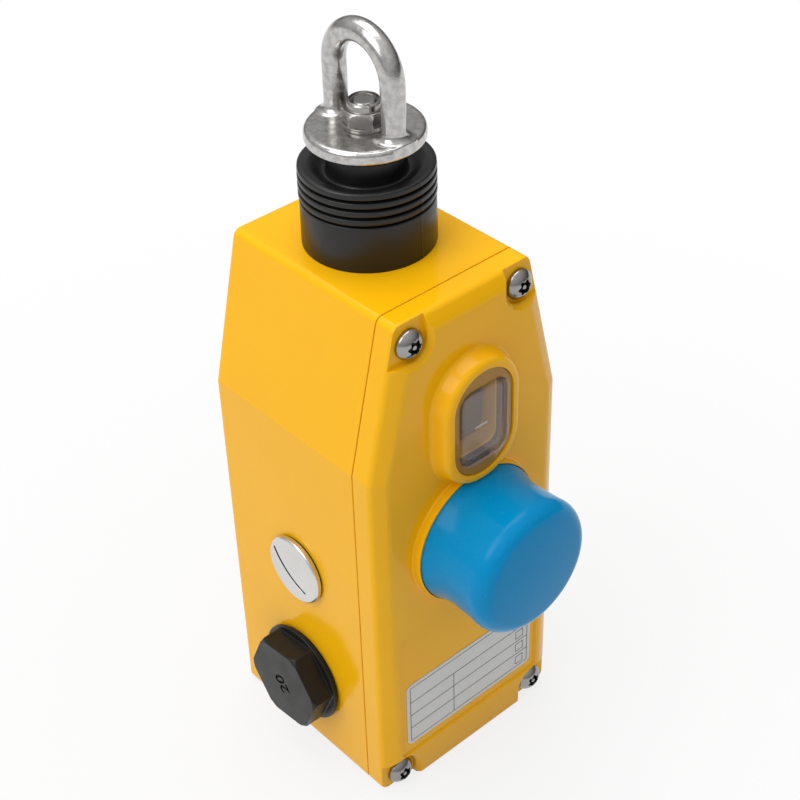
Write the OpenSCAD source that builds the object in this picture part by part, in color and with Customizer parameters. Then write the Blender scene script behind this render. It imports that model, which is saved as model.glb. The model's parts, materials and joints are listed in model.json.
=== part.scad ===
// Rope pull switch: cast housing, sprung pull shaft with rope eye, reset button and two contact blocks.
// The pull axis is the Z axis, the base is at z = 0, the lid faces -Y and all sizes are in millimetres.

/* [Housing] */
// Width across the straight sides
body_w = 62; // [60:0.5:70]
// Width across the top face
top_w = 42.8; // [42:0.2:50]
// Depth from the back face to the lid seam
body_d = 52; // [50:0.5:60]
// Height from the base to the top face
body_h = 149.5; // [147:0.5:165]
// Height at which the sides start to taper
kink_z = 108.7; // [104:0.1:114]
// Distance from the pull axis to the back face
axis_back = 25.5; // [24:0.5:30]
// Thickness of the cast walls
wall = 3.5; // [3:0.1:4]
// Radius of the outer corners at the top
corner_r = 2.25; // [2:0.25:4]
// Radius of the outer corners at the base
base_r = 2.5; // [2:0.25:5]
// Radius round the back edge
back_r = 0.5; // [0.25:0.25:2]
// Radius of the neck that carries the boot
neck_r = 13.2; // [12.6:0.1:13.4]
// Height of the neck above the top face
neck_h = 9; // [7:0.5:10]

/* [Lid] */
// Depth of the lid's side wall in front of the seam
lid_side = 6; // [5.5:0.1:8]
// Rise of the bevelled border to the flat front
bevel_rise = 2.2; // [1.2:0.1:2.4]
// Width of the bevelled border at the sides and top
bevel_w = 4.4; // [3.5:0.1:5]
// Width of the softened edge at the base
bevel_base = 0.6; // [0.4:0.1:2]
// Thickness of the lid's walls
lid_wall = 3; // [2.6:0.1:3.4]
// Radius of the screw pockets at their floor
pocket_r = 4.9; // [4.6:0.1:5]
// Spread of the pocket walls at the front face
pocket_flare = 1.2; // [0.6:0.1:1.4]
// Depth of the screw pockets below the front face
pocket_d = 2.6; // [2.4:0.1:3]
// Gap at the seam, where the gasket shows as a line
seam = 0.2; // [0.1:0.05:0.4]
// Width of the gasket in its groove
gasket_w = 1.5; // [1.2:0.1:1.7]
// Depth of the gasket groove
gasket_d = 1.5; // [1:0.1:2]
// Width of the shallow panel round the label
panel_w = 49.8; // [48:0.2:51]
// Lower edge of the shallow panel
panel_low = 10.9; // [10.8:0.1:12]
// Top edge of the shallow panel
panel_top = 55.5; // [50:0.5:57]
// Depth of the shallow panel
panel_d = 0.6; // [0.4:0.05:0.8]
// Width of the label plate
label_w = 46; // [40:0.5:47]
// Height of the label plate
label_h = 23.3; // [20:0.1:26]
// Lower edge of the label plate
label_z = 14; // [13.5:0.1:18]
// Thickness of the label plate
label_t = 0.25; // [0.2:0.05:0.5]

/* [Window] */
// Distance from the top face down to the window's centre
win_drop = 34.3; // [32:0.1:36]
// Half the width of the lens
lens_r = 9.6; // [9:0.1:10]
// Half the height of the lens
lens_half_h = 15.15; // [14:0.05:15.5]
// Width of the bezel's rim round the lens
rim_w = 2.7; // [2:0.1:3]
// Radius of the rounding round the bezel's rim
rim_round = 1.8; // [1:0.1:2]
// Height of the bezel's rim above the flat front
rim_h = 4.7; // [4.2:0.1:5.2]
// Spread of the bezel's sloping flank
flank = 0.6; // [0.4:0.1:1.2]
// Half the width of the window opening
view_half_w = 6.4; // [5:0.1:7]
// Half the height of the window opening
view_half_h = 9.5; // [8:0.1:10]
// Thickness of the lens behind its flat rim
lens_t = 2.6; // [2:0.1:3]
// Height of the raised pad on the lens
pad_h = 1.4; // [0.8:0.1:1.8]
// Thickness of the ledge behind the lens
ledge_t = 1.5; // [1.3:0.1:2]
// Width of the seal behind the lens
lens_seal_w = 1.2; // [0.8:0.1:1.6]
// Depth of the seal behind the lens
lens_seal_t = 0.8; // [0.4:0.1:1]
// Radius of the lens's two locating pins
lens_pin_r = 0.8; // [0.6:0.1:1]
// Half the width of the indicator flag
flag_half_w = 3.3; // [2.8:0.1:3.6]
// Half the height of the indicator flag
flag_half_h = 5; // [4:0.1:5.4]
// Half the length of the line on the lens
mark_half = 2.1; // [1.5:0.1:2.6]

/* [Reset button] */
// Distance from the window's centre down to the reset button's axis
reset_drop = 36.4; // [36.2:0.1:39]
// Radius of the cap at its base
cap_r = 19.2; // [18:0.1:19.6]
// Radius of the cap at its waist
cap_waist_r = 18.05; // [17.6:0.05:18.6]
// Radius of the cap near its front
cap_front_r = 18.6; // [17.5:0.1:19]
// Length of the cap in front of the boss
cap_l = 21.6; // [19:0.1:24]
// Radius of the rounding at the front of the cap
cap_round = 4.6; // [3:0.1:6]
// Crown of the cap's front face
cap_crown = 0.7; // [0.3:0.1:1.2]
// Thickness of the cap's wall
cap_wall = 2.2; // [1.8:0.1:2.6]
// Height of the boss rim above the flat front
boss_h = 2.4; // [2:0.1:3]
// Thickness of the boss rim round the cap
boss_rim = 0.55; // [0.5:0.05:1]
// Travel of the button
reset_travel = 4; // [3:0.1:4.5]
// Radius of the stem
stem_r = 4; // [3.5:0.1:4.5]
// Radius of the reset spring's wire
reset_wire = 0.7; // [0.5:0.05:0.8]

/* [Pull shaft and eye] */
// Travel of the pull shaft
pull_travel = 10; // [6:0.5:11]
// Radius of the pull shaft
shaft_r = 4; // [3.5:0.1:4.5]
// Radius of the M6 stud through the eye
stud_r = 3; // [2.5:0.5:3]
// Radius of the eye's disc
disc_r = 14.3; // [14:0.1:16]
// Thickness of the eye's disc
disc_t = 3.7; // [3:0.1:5]
// Height of the disc's underside above the top face
disc_rise = 26.5; // [25:0.5:30]
// Spacing of the ring's legs
leg_gap = 20; // [19.6:0.1:21]
// Thickness of the ring's wire
ring_wire = 5.8; // [4.5:0.1:6]
// Height of the ring above the disc
ring_h = 25.8; // [23:0.1:32]
// Width of the lock nut across its flats
nut_af = 10; // [9:0.5:10.5]
// Height of the lock nut
nut_h = 5.4; // [5:0.1:6]
// Radius of the main spring's wire
spring_wire = 1.1; // [0.8:0.05:1.2]
// Outside radius of the main spring
spring_r = 10; // [9:0.1:10.5]

/* [Boot] */
// Radius of the boot's plain base
boot_r = 16.3; // [15.8:0.1:17]
// Height of the boot's plain base
boot_base_h = 12; // [11:0.1:13]
// Number of folds
folds = 4; // [3:1:5]
// Height of one fold
fold_h = 2.2; // [2:0.1:2.4]
// Depth of the grooves between the folds
fold_d = 1.3; // [0.8:0.1:1.6]

/* [Contacts] */
// Height of the plungers
plunger_z = 48; // [46:0.5:50]
// Radius of the plungers
plunger_r = 2.5; // [2:0.1:3]
// Plunger travel for each millimetre of pull
cam_slope = 0.2; // [0.15:0.01:0.25]
// Half the width of the cam at the plungers
cam_half = 6; // [5.5:0.1:6.5]
// Gap between each contact block and the side wall
block_gap = 3.75; // [3.5:0.25:5]
// Height of each contact block
block_h = 21; // [18:0.5:21.5]

/* [Side entries] */
// Height of the conduit entries
entry_z = 24.7; // [23:0.1:24.8]
// Distance of the conduit entries in front of the pull axis
entry_y = 2; // [0:0.1:3]
// Radius of the M20 thread
entry_r = 10; // [8:0.5:10]
// Radius of the blanking plug's flange
flange_r = 14.4; // [13.8:0.1:15]
// Thickness of the blanking plug's flange with its seal
flange_t = 1.95; // [1.6:0.05:2.4]
// Width of the plug's hexagon across its flats
hex_af = 24; // [22:0.5:25]
// Reach of the plug's hexagon from the housing
hex_reach = 8.25; // [6:0.25:10]
// Height of the coin-slot plug
coin_z = 63.2; // [61:0.1:66]
// Distance of the coin-slot plug in front of the pull axis
coin_y = 2.7; // [0:0.1:4]
// Radius of the coin-slot plug's head
coin_r = 9.7; // [9:0.1:11]
// Thickness of the coin-slot plug's head
coin_t = 2; // [1.6:0.1:2.6]
// Width of the curved coin slot
slot_w = 0.8; // [0.6:0.05:1]
// Radius of the curved coin slot
slot_r = 17.5; // [16:0.5:19]

/* [Fasteners and mounting] */
// Inset of the upper lid screws from the top corners
screw_in_top = 4; // [3.9:0.1:5]
// Inset of the lower lid screws from the sides
screw_in_base = 6.25; // [5.5:0.25:6.75]
// Distance of the upper lid screws below the top face
screw_down = 6.1; // [5.4:0.1:6.6]
// Distance of the lower lid screws above the base
screw_up = 4.5; // [4.3:0.1:4.6]
// Nominal radius of the lid screws
screw_r = 2; // [1.5:0.25:2]
// Radius of the lid screws' heads
head_r = 3.9; // [3.5:0.1:4.2]
// Height of the lid screws' heads
head_h = 3.4; // [3:0.1:3.6]
// Height of the straight side of the heads, below the dome
head_side = 1.2; // [0.8:0.1:1.4]
// Spacing of the mounting holes across the back
mount_x = 40; // [34:0.5:42]
// Spacing of the mounting holes up the back
mount_z = 95; // [90:0.5:97]
// Height of the lower mounting holes
mount_low = 27.3; // [26:0.1:28]
// Radius of the tapped mounting holes
mount_r = 2.1; // [1.65:0.05:2.5]
// Depth of the tapped mounting holes
mount_depth = 10; // [8:0.5:11]

/* [Inner parts] */
// Distance from the window's centre down to the spring collar
collar_drop = 14.2; // [13:0.1:15]
// Gap between the lid and the indicator's card
card_gap = 4.3; // [3.5:0.1:5]
// Half the width of the indicator's card
card_half = 8; // [6:0.5:9]
// Reach of the card below the arm
card_drop = 4; // [3:0.5:5]
// Reach of the card above the window's centre
card_rise = 16; // [12:0.5:18]
// Radius of the arm's hub
arm_r = 8; // [7:0.5:9]
// Reach of the cam below the plungers
cam_below = 14; // [12:0.5:15]
// Reach of the cam sleeve above the plungers
cam_above = 18; // [14:0.5:19]
// Half the depth of the cam
cam_depth = 5; // [4:0.5:6]
// Radius of the cam sleeve's head
cam_head_r = 7; // [6:0.5:8]
// Radius of the shaft bush
bush_r = 7; // [6.5:0.1:8]
// Radius of the shaft bush's flange
bush_flange_r = 10; // [9:0.5:11]
// Thickness of the shaft bush's flange
bush_flange_t = 2.5; // [2:0.1:3]
// Height of the lower guide
guide_z = 18; // [17:0.5:19]
// Thickness of the lower guide
guide_t = 7; // [5:0.5:8]
// Half the width of the latch fork
fork_half = 12.5; // [12:0.5:13]
// Radius of the reset hub inside the lid
hub_r = 9; // [8.5:0.1:10]
// Radius of the bosses for the lid screws
lid_boss_r = 5; // [4.5:0.1:5.2]
// Length of the bosses for the lid screws
lid_boss = 16; // [14:0.5:18]
// Reach of the lid screws below the front face's pockets
screw_grip = 14; // [12:0.5:16]

/* [Hidden] */
$fn = 64;

// Fits
run = 0.05;        // running clearance, on the radius
loose = 0.1;       // clearance round screws and plugs, on the radius
free = 0.3;        // clearance beside soft parts
cut = 1;           // how far a cutting solid runs past the face it cuts
lap = 0.2;         // how far joined rods of one piece run into each other

// Where the main faces lie
back_y = axis_back;
seam_y = back_y - body_d;
inner_y = back_y - wall;
lid_y = seam_y - seam;
edge_y = lid_y - lid_side;
front_y = edge_y - bevel_rise;
lid_inner_y = front_y + lid_wall;
lid_rim = lid_wall + 1;                // thickness of the lid's side walls
top_in = body_h - wall;
half_w = body_w/2;
half_in = half_w - wall;
win_z = body_h - win_drop;
reset_z = win_z - reset_drop;

// Reset button
rim_y = front_y - boss_h;
cap_enter = 1.3;                       // how far the skirt enters the boss at rest
cap_back_y = rim_y + cap_enter;
cap_front_y = rim_y - cap_l;
groove_r = cap_r + 0.2;
boss_r = groove_r + boss_rim;
boss_foot = 0.5;
groove_in_r = cap_r - cap_wall - 0.4;
groove_y = cap_back_y + reset_travel + 0.6;
barrel_y = groove_y + 2.5;
barrel_r = groove_r + 1.6;
hub_depth = 6.7;
hub_y = barrel_y + hub_depth;
seat_depth = 2.6;
seat_y = front_y + seat_depth;         // floor of the reset spring's seat
seat_r = 11.5;
reset_bush_r = stem_r + 2;
reset_flange_t = 2;
reset_flange = 2.5;
reset_end_y = hub_y + 0.5;
clip_t = 1;
clip_mouth = 4;
clip_y = reset_end_y + 0.2;
fork_y = clip_y + clip_t + 2.8;
fork_t = 3;
fork_tail = 2.45;
tail_t = 0.6;
fork_in = fork_half - 3;
fork_reach = 6;
fork_hh = 3.5;
cap_in_y = cap_front_y + cap_wall + cap_crown;
socket_l = 6;                          // socket in the cap for the stem
socket_r = stem_r + 2.2;

// Window
lens_y = front_y - rim_h + 0.5;        // flat rim of the lens, just below the bezel
lens_back_y = lens_y + lens_t;
ledge_y = lens_back_y + ledge_t;
pad_half_w = view_half_w + 1.4;
pad_half_h = view_half_h + 1.4;
pad_corner = 4;
view_corner = 2.5;
bezel_r = lens_r + rim_w;
slot_half = lens_half_h - lens_r;      // from the window's centre to the centre of its round ends
seal_half_w = view_half_w + 0.6;
seal_half_h = view_half_h + 0.6;
seal_corner = 3;
pin_z = lens_half_h - 1.6;             // from the window's centre to the lens's locating pins
pin_l = 1;

// Pull shaft, from the top down
disc_z = body_h + disc_rise;
washer_z = disc_z + disc_t;
washer_t = 1;
washer_r = 5.4;
seat_gap = 0.15;                       // between the washer and the fillets at the ring's feet
nut_z = washer_z + washer_t;
ring_r = leg_gap/2;
leg_fillet = 2.2;
nut_turn = 8;
collar_r = 4.1;
ring_c_z = washer_z + ring_h - ring_wire/2 - ring_r;
neck_z = body_h + neck_h;
spring_top = top_in - bush_flange_t;
collar_t = 3.5;
collar_z = win_z - collar_drop;
collar_top = collar_z + collar_t;
arm_t = 4.5;
arm_half = 5;
arm_z = collar_z - arm_t;
cam_low = plunger_z - cam_below;
cam_top = plunger_z + cam_above;
cam_pin_z = cam_top - 4;
guide_r = shaft_r + 3;
shaft_low = guide_z - pull_travel + 4;
pin_r = 1.25;

// Indicator behind the window
card_y = lid_inner_y + card_gap;
card_t = 1.5;
card_low = arm_z - card_drop;
card_top = win_z + card_rise;
flag_y = ledge_y + 0.4;
flag_reach = win_z + flag_half_h + pull_travel + 0.8;
mark_t = 0.15;
mark_hh = 0.2;
mark_z = win_z - 2;

// Boot
boot_in = neck_r + free;
fold_z = body_h + boot_base_h;
lip_z = fold_z + folds*fold_h;
cup_z = lip_z - 2.4;
sleeve_r = 9.6;
dish_in = sleeve_r + 0.4;
dish_out = boot_r - 2.7;
sleeve_top = disc_z - 0.15;
boot_floor = cup_z - 2.2;
boot_bore = shaft_r + free;

// Contacts
cam_gap = 0.15;
tip_x = cam_half + sqrt(1 + cam_slope*cam_slope)*(plunger_r + cam_gap);
block_in = tip_x + 3.3;
block_out = half_in - block_gap;
block_x = (block_in + block_out)/2;
bore_end = block_out - 1;
block_low = plunger_z - block_h/2 + 1;
block_front = 12;
plunger_travel = cam_slope*pull_travel;
plunger_end = bore_end - 0.5 - plunger_travel;
terminal_r = 2.6;
terminal_half = 4;
terminal_edge = 4;                     // from the block's top and bottom to its terminals

// Side entries
seal_t = 0.8;
shank_end = 19.5;
entry_pad = 3;
hex_turn = 24;
coin_shank_r = 7.8;
coin_shank = wall + 2.7;
slot_d = 0.8;
slot_centre = [-8.1, 11.8];            // from the centre of the coin-slot plug to the centre of its slot
slot_from = -78;
slot_turn = 51;
coin_seal_t = 0.5;

// Mounting and earth
mount_boss_r = mount_r + 3.2;
mount_boss = mount_depth + 2;
earth_z = 10;
earth_boss = 8;
earth_boss_r = 4.5;
screw_l = screw_grip;
recess_d = 1.7;
lobe_at = 1.55;
lobe_r = 0.5;

panel_slope = 0.35;
upper_screw = [top_w/2 - screw_in_top, body_h - screw_down];
lower_screw = [half_w - screw_in_base, screw_up];
LID_SCREWS = [
  [upper_screw.x, upper_screw.y, 1, 1], [-upper_screw.x, upper_screw.y, -1, 1],
  [lower_screw.x, lower_screw.y, 1, -1], [-lower_screw.x, lower_screw.y, -1, -1]
];
MOUNTS = [for (sx = [-1, 1], up = [0, 1]) [sx*mount_x/2, mount_low + up*mount_z]];

yellow = "#F0B41B";
rubber_black = "#2D2D2D";
steel = "#C8C8C8";
zinc = "#B9BCBE";
cream = "#D9CBA8";

// ---- Outline functions ----

// The housing seen from the front, as six corners counter-clockwise from the lower right
function body_corners() = [
  [half_w, 0], [half_w, kink_z], [top_w/2, body_h],
  [-top_w/2, body_h], [-half_w, kink_z], [-half_w, 0]
];
function unit(v) = v/norm(v);
function inward(a, b) = let (d = unit(b - a)) [-d.y, d.x];
function cross2(a, b) = a.x*b.y - a.y*b.x;
// Where the line through p along u meets the line through q along v
function meet(p, u, q, v) = p + u*cross2(q - p, v)/cross2(u, v);
// Each edge of a convex outline moved inwards by its own distance
function inset(pts, d) = let (n = len(pts)) [
  for (i = [0:n - 1])
    let (
      before = pts[(i + n - 1) % n], here = pts[i], after = pts[(i + 1) % n],
      d0 = d[(i + n - 1) % n], d1 = d[i]
    )
    meet(here + inward(before, here)*d0, unit(here - before),
         here + inward(here, after)*d1, unit(after - here))
];
// An outline with each corner rounded to its own radius
function rounded(pts, r, steps = 6) = let (n = len(pts)) [
  for (i = [0:n - 1])
    let (
      here = pts[i], a = unit(pts[(i + n - 1) % n] - here), b = unit(pts[(i + 1) % n] - here),
      half = acos(a*b)/2, centre = here + unit(a + b)*r[i]/sin(half),
      start = here + a*r[i]/tan(half) - centre, turn = 180 - 2*half, base = atan2(start.y, start.x)
    )
    for (k = [0:steps]) centre + r[i]*[cos(base + turn*k/steps), sin(base + turn*k/steps)]
];
// The housing outline moved in by side, top and base distances, with rounded corners
function body_outline(side, top, base, r_top, r_base, r_kink = 1.5) = rounded(
  inset(body_corners(), [side, side, top, side, side, base]),
  [r_base, r_kink, r_top, r_top, r_kink, r_base]
);
// A swept round wire: a ring of points at every station of the path
function ring_points(c, out, up, r, sides) = [
  for (k = [0:sides - 1]) c + r*(cos(360*k/sides)*out + sin(360*k/sides)*up)
];

// ---- Helpers ----

// An outline in X and Z, extruded from y0 towards the front to y1
module slab(pts, y0, y1) {
  translate([0, y0, 0]) rotate([90, 0, 0]) linear_extrude(y0 - y1) polygon(pts);
}
module rod_y(x, z, y0, y1, r) {
  translate([x, min(y0, y1), z]) rotate([-90, 0, 0]) cylinder(h = abs(y1 - y0), r = r);
}
module rod_x(x0, x1, y, z, r) {
  translate([min(x0, x1), y, z]) rotate([0, 90, 0]) cylinder(h = abs(x1 - x0), r = r);
}
module rod_z(z0, z1, r) {
  translate([0, 0, z0]) cylinder(h = z1 - z0, r = r);
}
module tube_z(z0, z1, r, bore) {
  difference() {
    rod_z(z0, z1, r);
    rod_z(z0 - cut, z1 + cut, bore);
  }
}
module block(x0, x1, y0, y1, z0, z1) {
  translate([x0, y0, z0]) cube([x1 - x0, y1 - y0, z1 - z0]);
}
// An upright slot with round ends, about the window's centre
module obround(y0, y1, r, half_h) {
  rod_y(0, win_z + half_h - r, y0, y1, r);
  rod_y(0, win_z - half_h + r, y0, y1, r);
  block(-r, r, min(y0, y1), max(y0, y1), win_z - half_h + r, win_z + half_h - r);
}
// A profile of radius and height run round an upright slot about the window's centre
module obround_turned(profile) {
  for (s = [-1, 1])
    translate([0, 0, win_z + s*slot_half]) rotate([90, 0, 0]) rotate_extrude($fn = 96) polygon(profile);
  translate([0, 0, win_z - slot_half]) linear_extrude(2*slot_half) polygon(concat(
    [for (p = profile) [p.x, -p.y]],
    [for (i = [len(profile) - 1:-1:0]) if (profile[i].x > 0) [-profile[i].x, -profile[i].y]]
  ));
}
// A rectangle with round corners, about the window's centre
module round_pane(y0, y1, half_x, half_z, r) {
  slab(rounded([[half_x, win_z - half_z], [half_x, win_z + half_z],
                [-half_x, win_z + half_z], [-half_x, win_z - half_z]], [r, r, r, r]),
       max(y0, y1), min(y0, y1));
}
// A profile of radius and height turned about the reset button's axis, heights counted towards the front
module turned_y(profile) {
  translate([0, 0, reset_z]) rotate([90, 0, 0]) rotate_extrude($fn = 96) polygon(profile);
}
// A frame of the given width inside a rectangle with round corners, about the window's centre
module pane_frame(y0, y1, half_x, half_z, r, width) {
  difference() {
    round_pane(y0, y1, half_x + width, half_z + width, r + width);
    round_pane(y0 + cut, y1 - cut, half_x, half_z, r);
  }
}
// A coil spring that stands on z = 0, with closed ends
module coil(r, wire, height, turns, per_turn = 18, sides = 8) {
  mean = r - wire;
  n = turns*per_turn;
  dead = per_turn;
  rise = (height - 4*wire)/(n - 2*dead);
  level = function (i) wire + (i < dead ? 2*wire*i/dead*0.5
    : i > n - dead ? height - 2*wire - wire*(n - i)/dead
    : wire + (i - dead)*rise);
  points = [
    for (i = [0:n]) let (a = 360*i/per_turn, out = [cos(a), sin(a), 0])
      each ring_points(mean*out + [0, 0, level(i)], out, [0, 0, 1], wire, sides)
  ];
  faces = concat(
    [[for (k = [0:sides - 1]) k]],
    [for (i = [0:n - 1], k = [0:sides - 1])
      let (a = i*sides + k, b = i*sides + (k + 1) % sides) [a, a + sides, b + sides, b]],
    [[for (k = [sides - 1:-1:0]) n*sides + k]]
  );
  polyhedron(points, faces, convexity = 8);
}

// ---- Housing and lid ----

module housing() {
  color(yellow)
  difference() {
    union() {
      difference() {
        hull() {
          slab(body_outline(0, 0, 0, corner_r, base_r), back_y - back_r, seam_y);
          for (a = [30, 60, 90]) let (d = back_r*(1 - cos(a))) {
            slab(body_outline(d, d, d, corner_r - d/2, base_r - d/2),
                 back_y - back_r + back_r*sin(a), back_y - back_r);
          }
        }
        slab(body_outline(wall, wall, wall, corner_r, base_r), inner_y, seam_y - cut);
      }
      rod_z(top_in, neck_z, neck_r);
      for (s = LID_SCREWS) intersection() {
        rod_y(s.x, s.y, seam_y, seam_y + lid_boss, lid_boss_r);
        slab(body_outline(1, 1, 1, corner_r, base_r), back_y - wall, seam_y);
      }
      for (m = MOUNTS) rod_y(m.x, m.y, inner_y + wall/2, back_y - mount_boss, mount_boss_r);
      rod_y(0, earth_z, inner_y + wall/2, inner_y - earth_boss, earth_boss_r);
      for (s = [-1, 1])
        rod_x(s*(half_in + wall/2), s*(half_in - entry_pad), -entry_y, entry_z, entry_r + 2.6);
    }
    // Gasket groove round the open front
    difference() {
      slab(gasket_outline(0), seam_y + gasket_d, seam_y - cut);
      slab(gasket_outline(gasket_w), seam_y + gasket_d + cut, seam_y - 2*cut);
    }
    rod_z(top_in - cut, neck_z + cut, bush_r + loose);
    for (s = LID_SCREWS) rod_y(s.x, s.y, seam_y - cut, seam_y + lid_boss - 1.5, screw_r);
    for (m = MOUNTS) rod_y(m.x, m.y, back_y + cut, back_y - mount_depth, mount_r);
    rod_y(0, earth_z, inner_y - earth_boss - cut, inner_y - 1, screw_r);
    for (s = [-1, 1]) rod_x(s*(half_w + cut), s*(half_in - entry_pad - cut), -entry_y, entry_z, entry_r);
    rod_x(-half_w - cut, -half_in + cut, -coin_y, coin_z, coin_shank_r + loose);
  }
}
// Centre strip of the cast wall, where the gasket runs
function gasket_outline(in) = let (d = (wall - gasket_w)/2 + in) body_outline(d, d, d, corner_r, base_r);

module lid_gasket() {
  color(rubber_black)
  difference() {
    slab(gasket_outline(0), seam_y + gasket_d, lid_y);
    slab(gasket_outline(gasket_w), seam_y + gasket_d + cut, lid_y - cut);
  }
}
// The cast lid's outer form: straight sides and a bevelled border, with soft edges
module lid_shell() {
  soft = 0.35;
  shoulder = 0.8;
  hull() {
    slab(body_outline(0, 0, 0, corner_r, base_r), lid_y, edge_y + soft);
    slab(body_outline(soft, soft, soft/2, corner_r, base_r), lid_y, edge_y - soft/4);
    slab(body_outline(bevel_w - shoulder, bevel_w - shoulder, soft/2, corner_r, base_r),
         lid_y, front_y + soft);
    slab(body_outline(bevel_w + shoulder, bevel_w + shoulder, bevel_base, corner_r, base_r), lid_y, front_y);
  }
}
// The window's bezel: a filleted foot, a drafted flank and a rounded rim
module bezel() {
  at = function (y) reset_axis_depth(y);
  foot = 1;
  obround_turned(concat(
    [[0, at(front_y) - 1], [bezel_r + flank + foot, at(front_y) - 1]],
    [for (a = [0:30:90]) [bezel_r + flank + foot*(1 - sin(a)), at(front_y) + foot*(1 - cos(a))]],
    [for (a = [0:18:90]) [bezel_r - rim_round*(1 - cos(a)), at(front_y) + rim_h - rim_round*(1 - sin(a))]],
    [[0, at(front_y) + rim_h]]
  ));
}
// The outline of a screw pocket of radius r, open towards its own corner of the lid
function pocket_outline(s, r) = let (
  reach = half_w, far = [s.x + s[2]*reach, s.y + s[3]*reach], near = [s.x - s[2]*r, s.y - s[3]*r],
  ring = [[near.x, near.y], [far.x, near.y], [far.x, far.y], [near.x, far.y]],
  turned = s[2]*s[3] > 0 ? ring : [ring[1], ring[0], ring[3], ring[2]],
  radii = s[2]*s[3] > 0 ? [r, 1, 1, 1] : [1, r, 1, 1]
) rounded(turned, radii);
module screw_pocket(s) {
  slab(pocket_outline(s, pocket_r), front_y + pocket_d, front_y - cut);
  hull() {
    slab(pocket_outline(s, pocket_r), front_y + pocket_flare, front_y);
    slab(pocket_outline(s, pocket_r + pocket_flare), front_y, front_y - cut);
  }
}
module lid() {
  at = function (y) reset_axis_depth(y);
  color(yellow)
  difference() {
    union() {
      difference() {
        lid_shell();
        for (s = LID_SCREWS) screw_pocket(s);
        slab(body_outline(lid_rim, lid_rim, lid_rim, corner_r, base_r), lid_y + cut, lid_inner_y);
      }
      bezel();
      for (s = LID_SCREWS) intersection() {
        rod_y(s.x, s.y, lid_y, front_y + pocket_d, lid_boss_r);
        slab(body_outline(1, 1, 1, corner_r, base_r), lid_y, front_y);
      }
      // Reset boss: a drafted rim outside, and a barrel and hub inside
      turned_y(concat(
        [[0, at(hub_y)], [hub_r, at(hub_y)], [hub_r, at(barrel_y)], [barrel_r, at(barrel_y)],
         [barrel_r, at(front_y) - 0.5]],
        [for (a = [0:30:90]) [boss_r + boss_foot*(1 - sin(a)), at(front_y) + boss_foot*(1 - cos(a))]],
        [[boss_r, at(rim_y) - 0.25], [boss_r - 0.25, at(rim_y)], [0, at(rim_y)]]
      ));
    }
    // Shallow panel for the label, with sloping edges
    slab(panel_outline(0), front_y + panel_d, front_y - cut);
    hull() {
      slab(panel_outline(0), front_y + panel_d, front_y);
      slab(panel_outline(panel_slope), front_y, front_y - cut);
    }
    // Annular groove for the cap's skirt, the spring's seat and the bush's bore
    turned_y([[groove_in_r, at(groove_y)], [groove_r, at(groove_y)], [groove_r, at(front_y) + rim_h + cut],
              [groove_in_r, at(front_y) + rim_h + cut]]);
    rod_y(0, reset_z, seat_y, rim_y - cut, seat_r);
    rod_y(0, reset_z, hub_y + cut, rim_y - cut, reset_bush_r + loose);
    turned_y([[reset_bush_r + loose, at(rim_y) - boss_h + 0.5], [groove_in_r + cut, at(rim_y) - boss_h + 0.5],
              [groove_in_r + cut, at(rim_y) + cut], [reset_bush_r + loose, at(rim_y) + cut]]);
    // Recess and opening for the window
    obround(lens_back_y, front_y - rim_h - cut, lens_r + loose, lens_half_h + loose);
    round_pane(lid_inner_y + cut, lens_back_y - cut, view_half_w, view_half_h, view_corner);
    pane_frame(lens_back_y + lens_seal_t, lens_back_y - cut, seal_half_w, seal_half_h, seal_corner,
               lens_seal_w);
    for (s = [-1, 1])
      rod_y(0, win_z + s*pin_z, lens_back_y + pin_l + 0.1, lens_back_y - cut, lens_pin_r + loose);
    // Room behind the ledge for the flag to rise
    block(-flag_half_w - 1, flag_half_w + 1, ledge_y, lid_inner_y + cut, win_z, flag_reach);
    for (s = LID_SCREWS) rod_y(s.x, s.y, lid_y + cut, front_y - cut, screw_r + loose);
  }
}
// Depths on the reset axis are counted from the pull axis towards the front
function reset_axis_depth(y) = -y;
function panel_outline(out) = rounded(
  [[panel_w/2 + out, panel_low - out], [panel_w/2 + out, panel_top + out],
   [-panel_w/2 - out, panel_top + out], [-panel_w/2 - out, panel_low - out]],
  [1 + out, 3 + out, 3 + out, 1 + out]
);

module button_screw(l) {
  // Head underside at z = 0, dome upwards, shank downwards
  rise = head_h - head_side;
  dome = (head_r*head_r + rise*rise)/(2*rise);
  difference() {
    union() {
      rotate_extrude() polygon(concat(
        [[0, 0], [head_r - 0.2, 0], [head_r, 0.2]],
        [for (k = [0:6]) let (a = asin(head_r/dome)*(1 - k/6)) [dome*sin(a), head_h - dome*(1 - cos(a))]]
      ));
      translate([0, 0, -l]) cylinder(h = l + 0.1, r = screw_r - 0.03);
    }
    // Six-lobed recess that leaves a centre pin
    translate([0, 0, head_h - recess_d]) difference() {
      union() {
        cylinder(h = recess_d + cut, r = lobe_at);
        for (a = [0:60:300]) rotate([0, 0, a]) translate([lobe_at, 0, 0])
          cylinder(h = recess_d + cut, r = lobe_r, $fn = 16);
      }
      translate([0, 0, -cut]) cylinder(h = recess_d + cut - 0.35, r = 0.6, $fn = 24);
    }
  }
}
module lid_screws() {
  color(steel)
  for (s = LID_SCREWS)
    translate([s.x, front_y + pocket_d, s.y]) rotate([90, 0, 0]) button_screw(screw_l);
}
module label_plate() {
  color("#C8C8C3")
  slab(rounded([[label_w/2, label_z], [label_w/2, label_z + label_h], [-label_w/2, label_z + label_h],
                [-label_w/2, label_z]], [1.8, 1.8, 1.8, 1.8]),
       front_y + panel_d, front_y + panel_d - label_t);
}

// ---- Window ----

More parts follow.
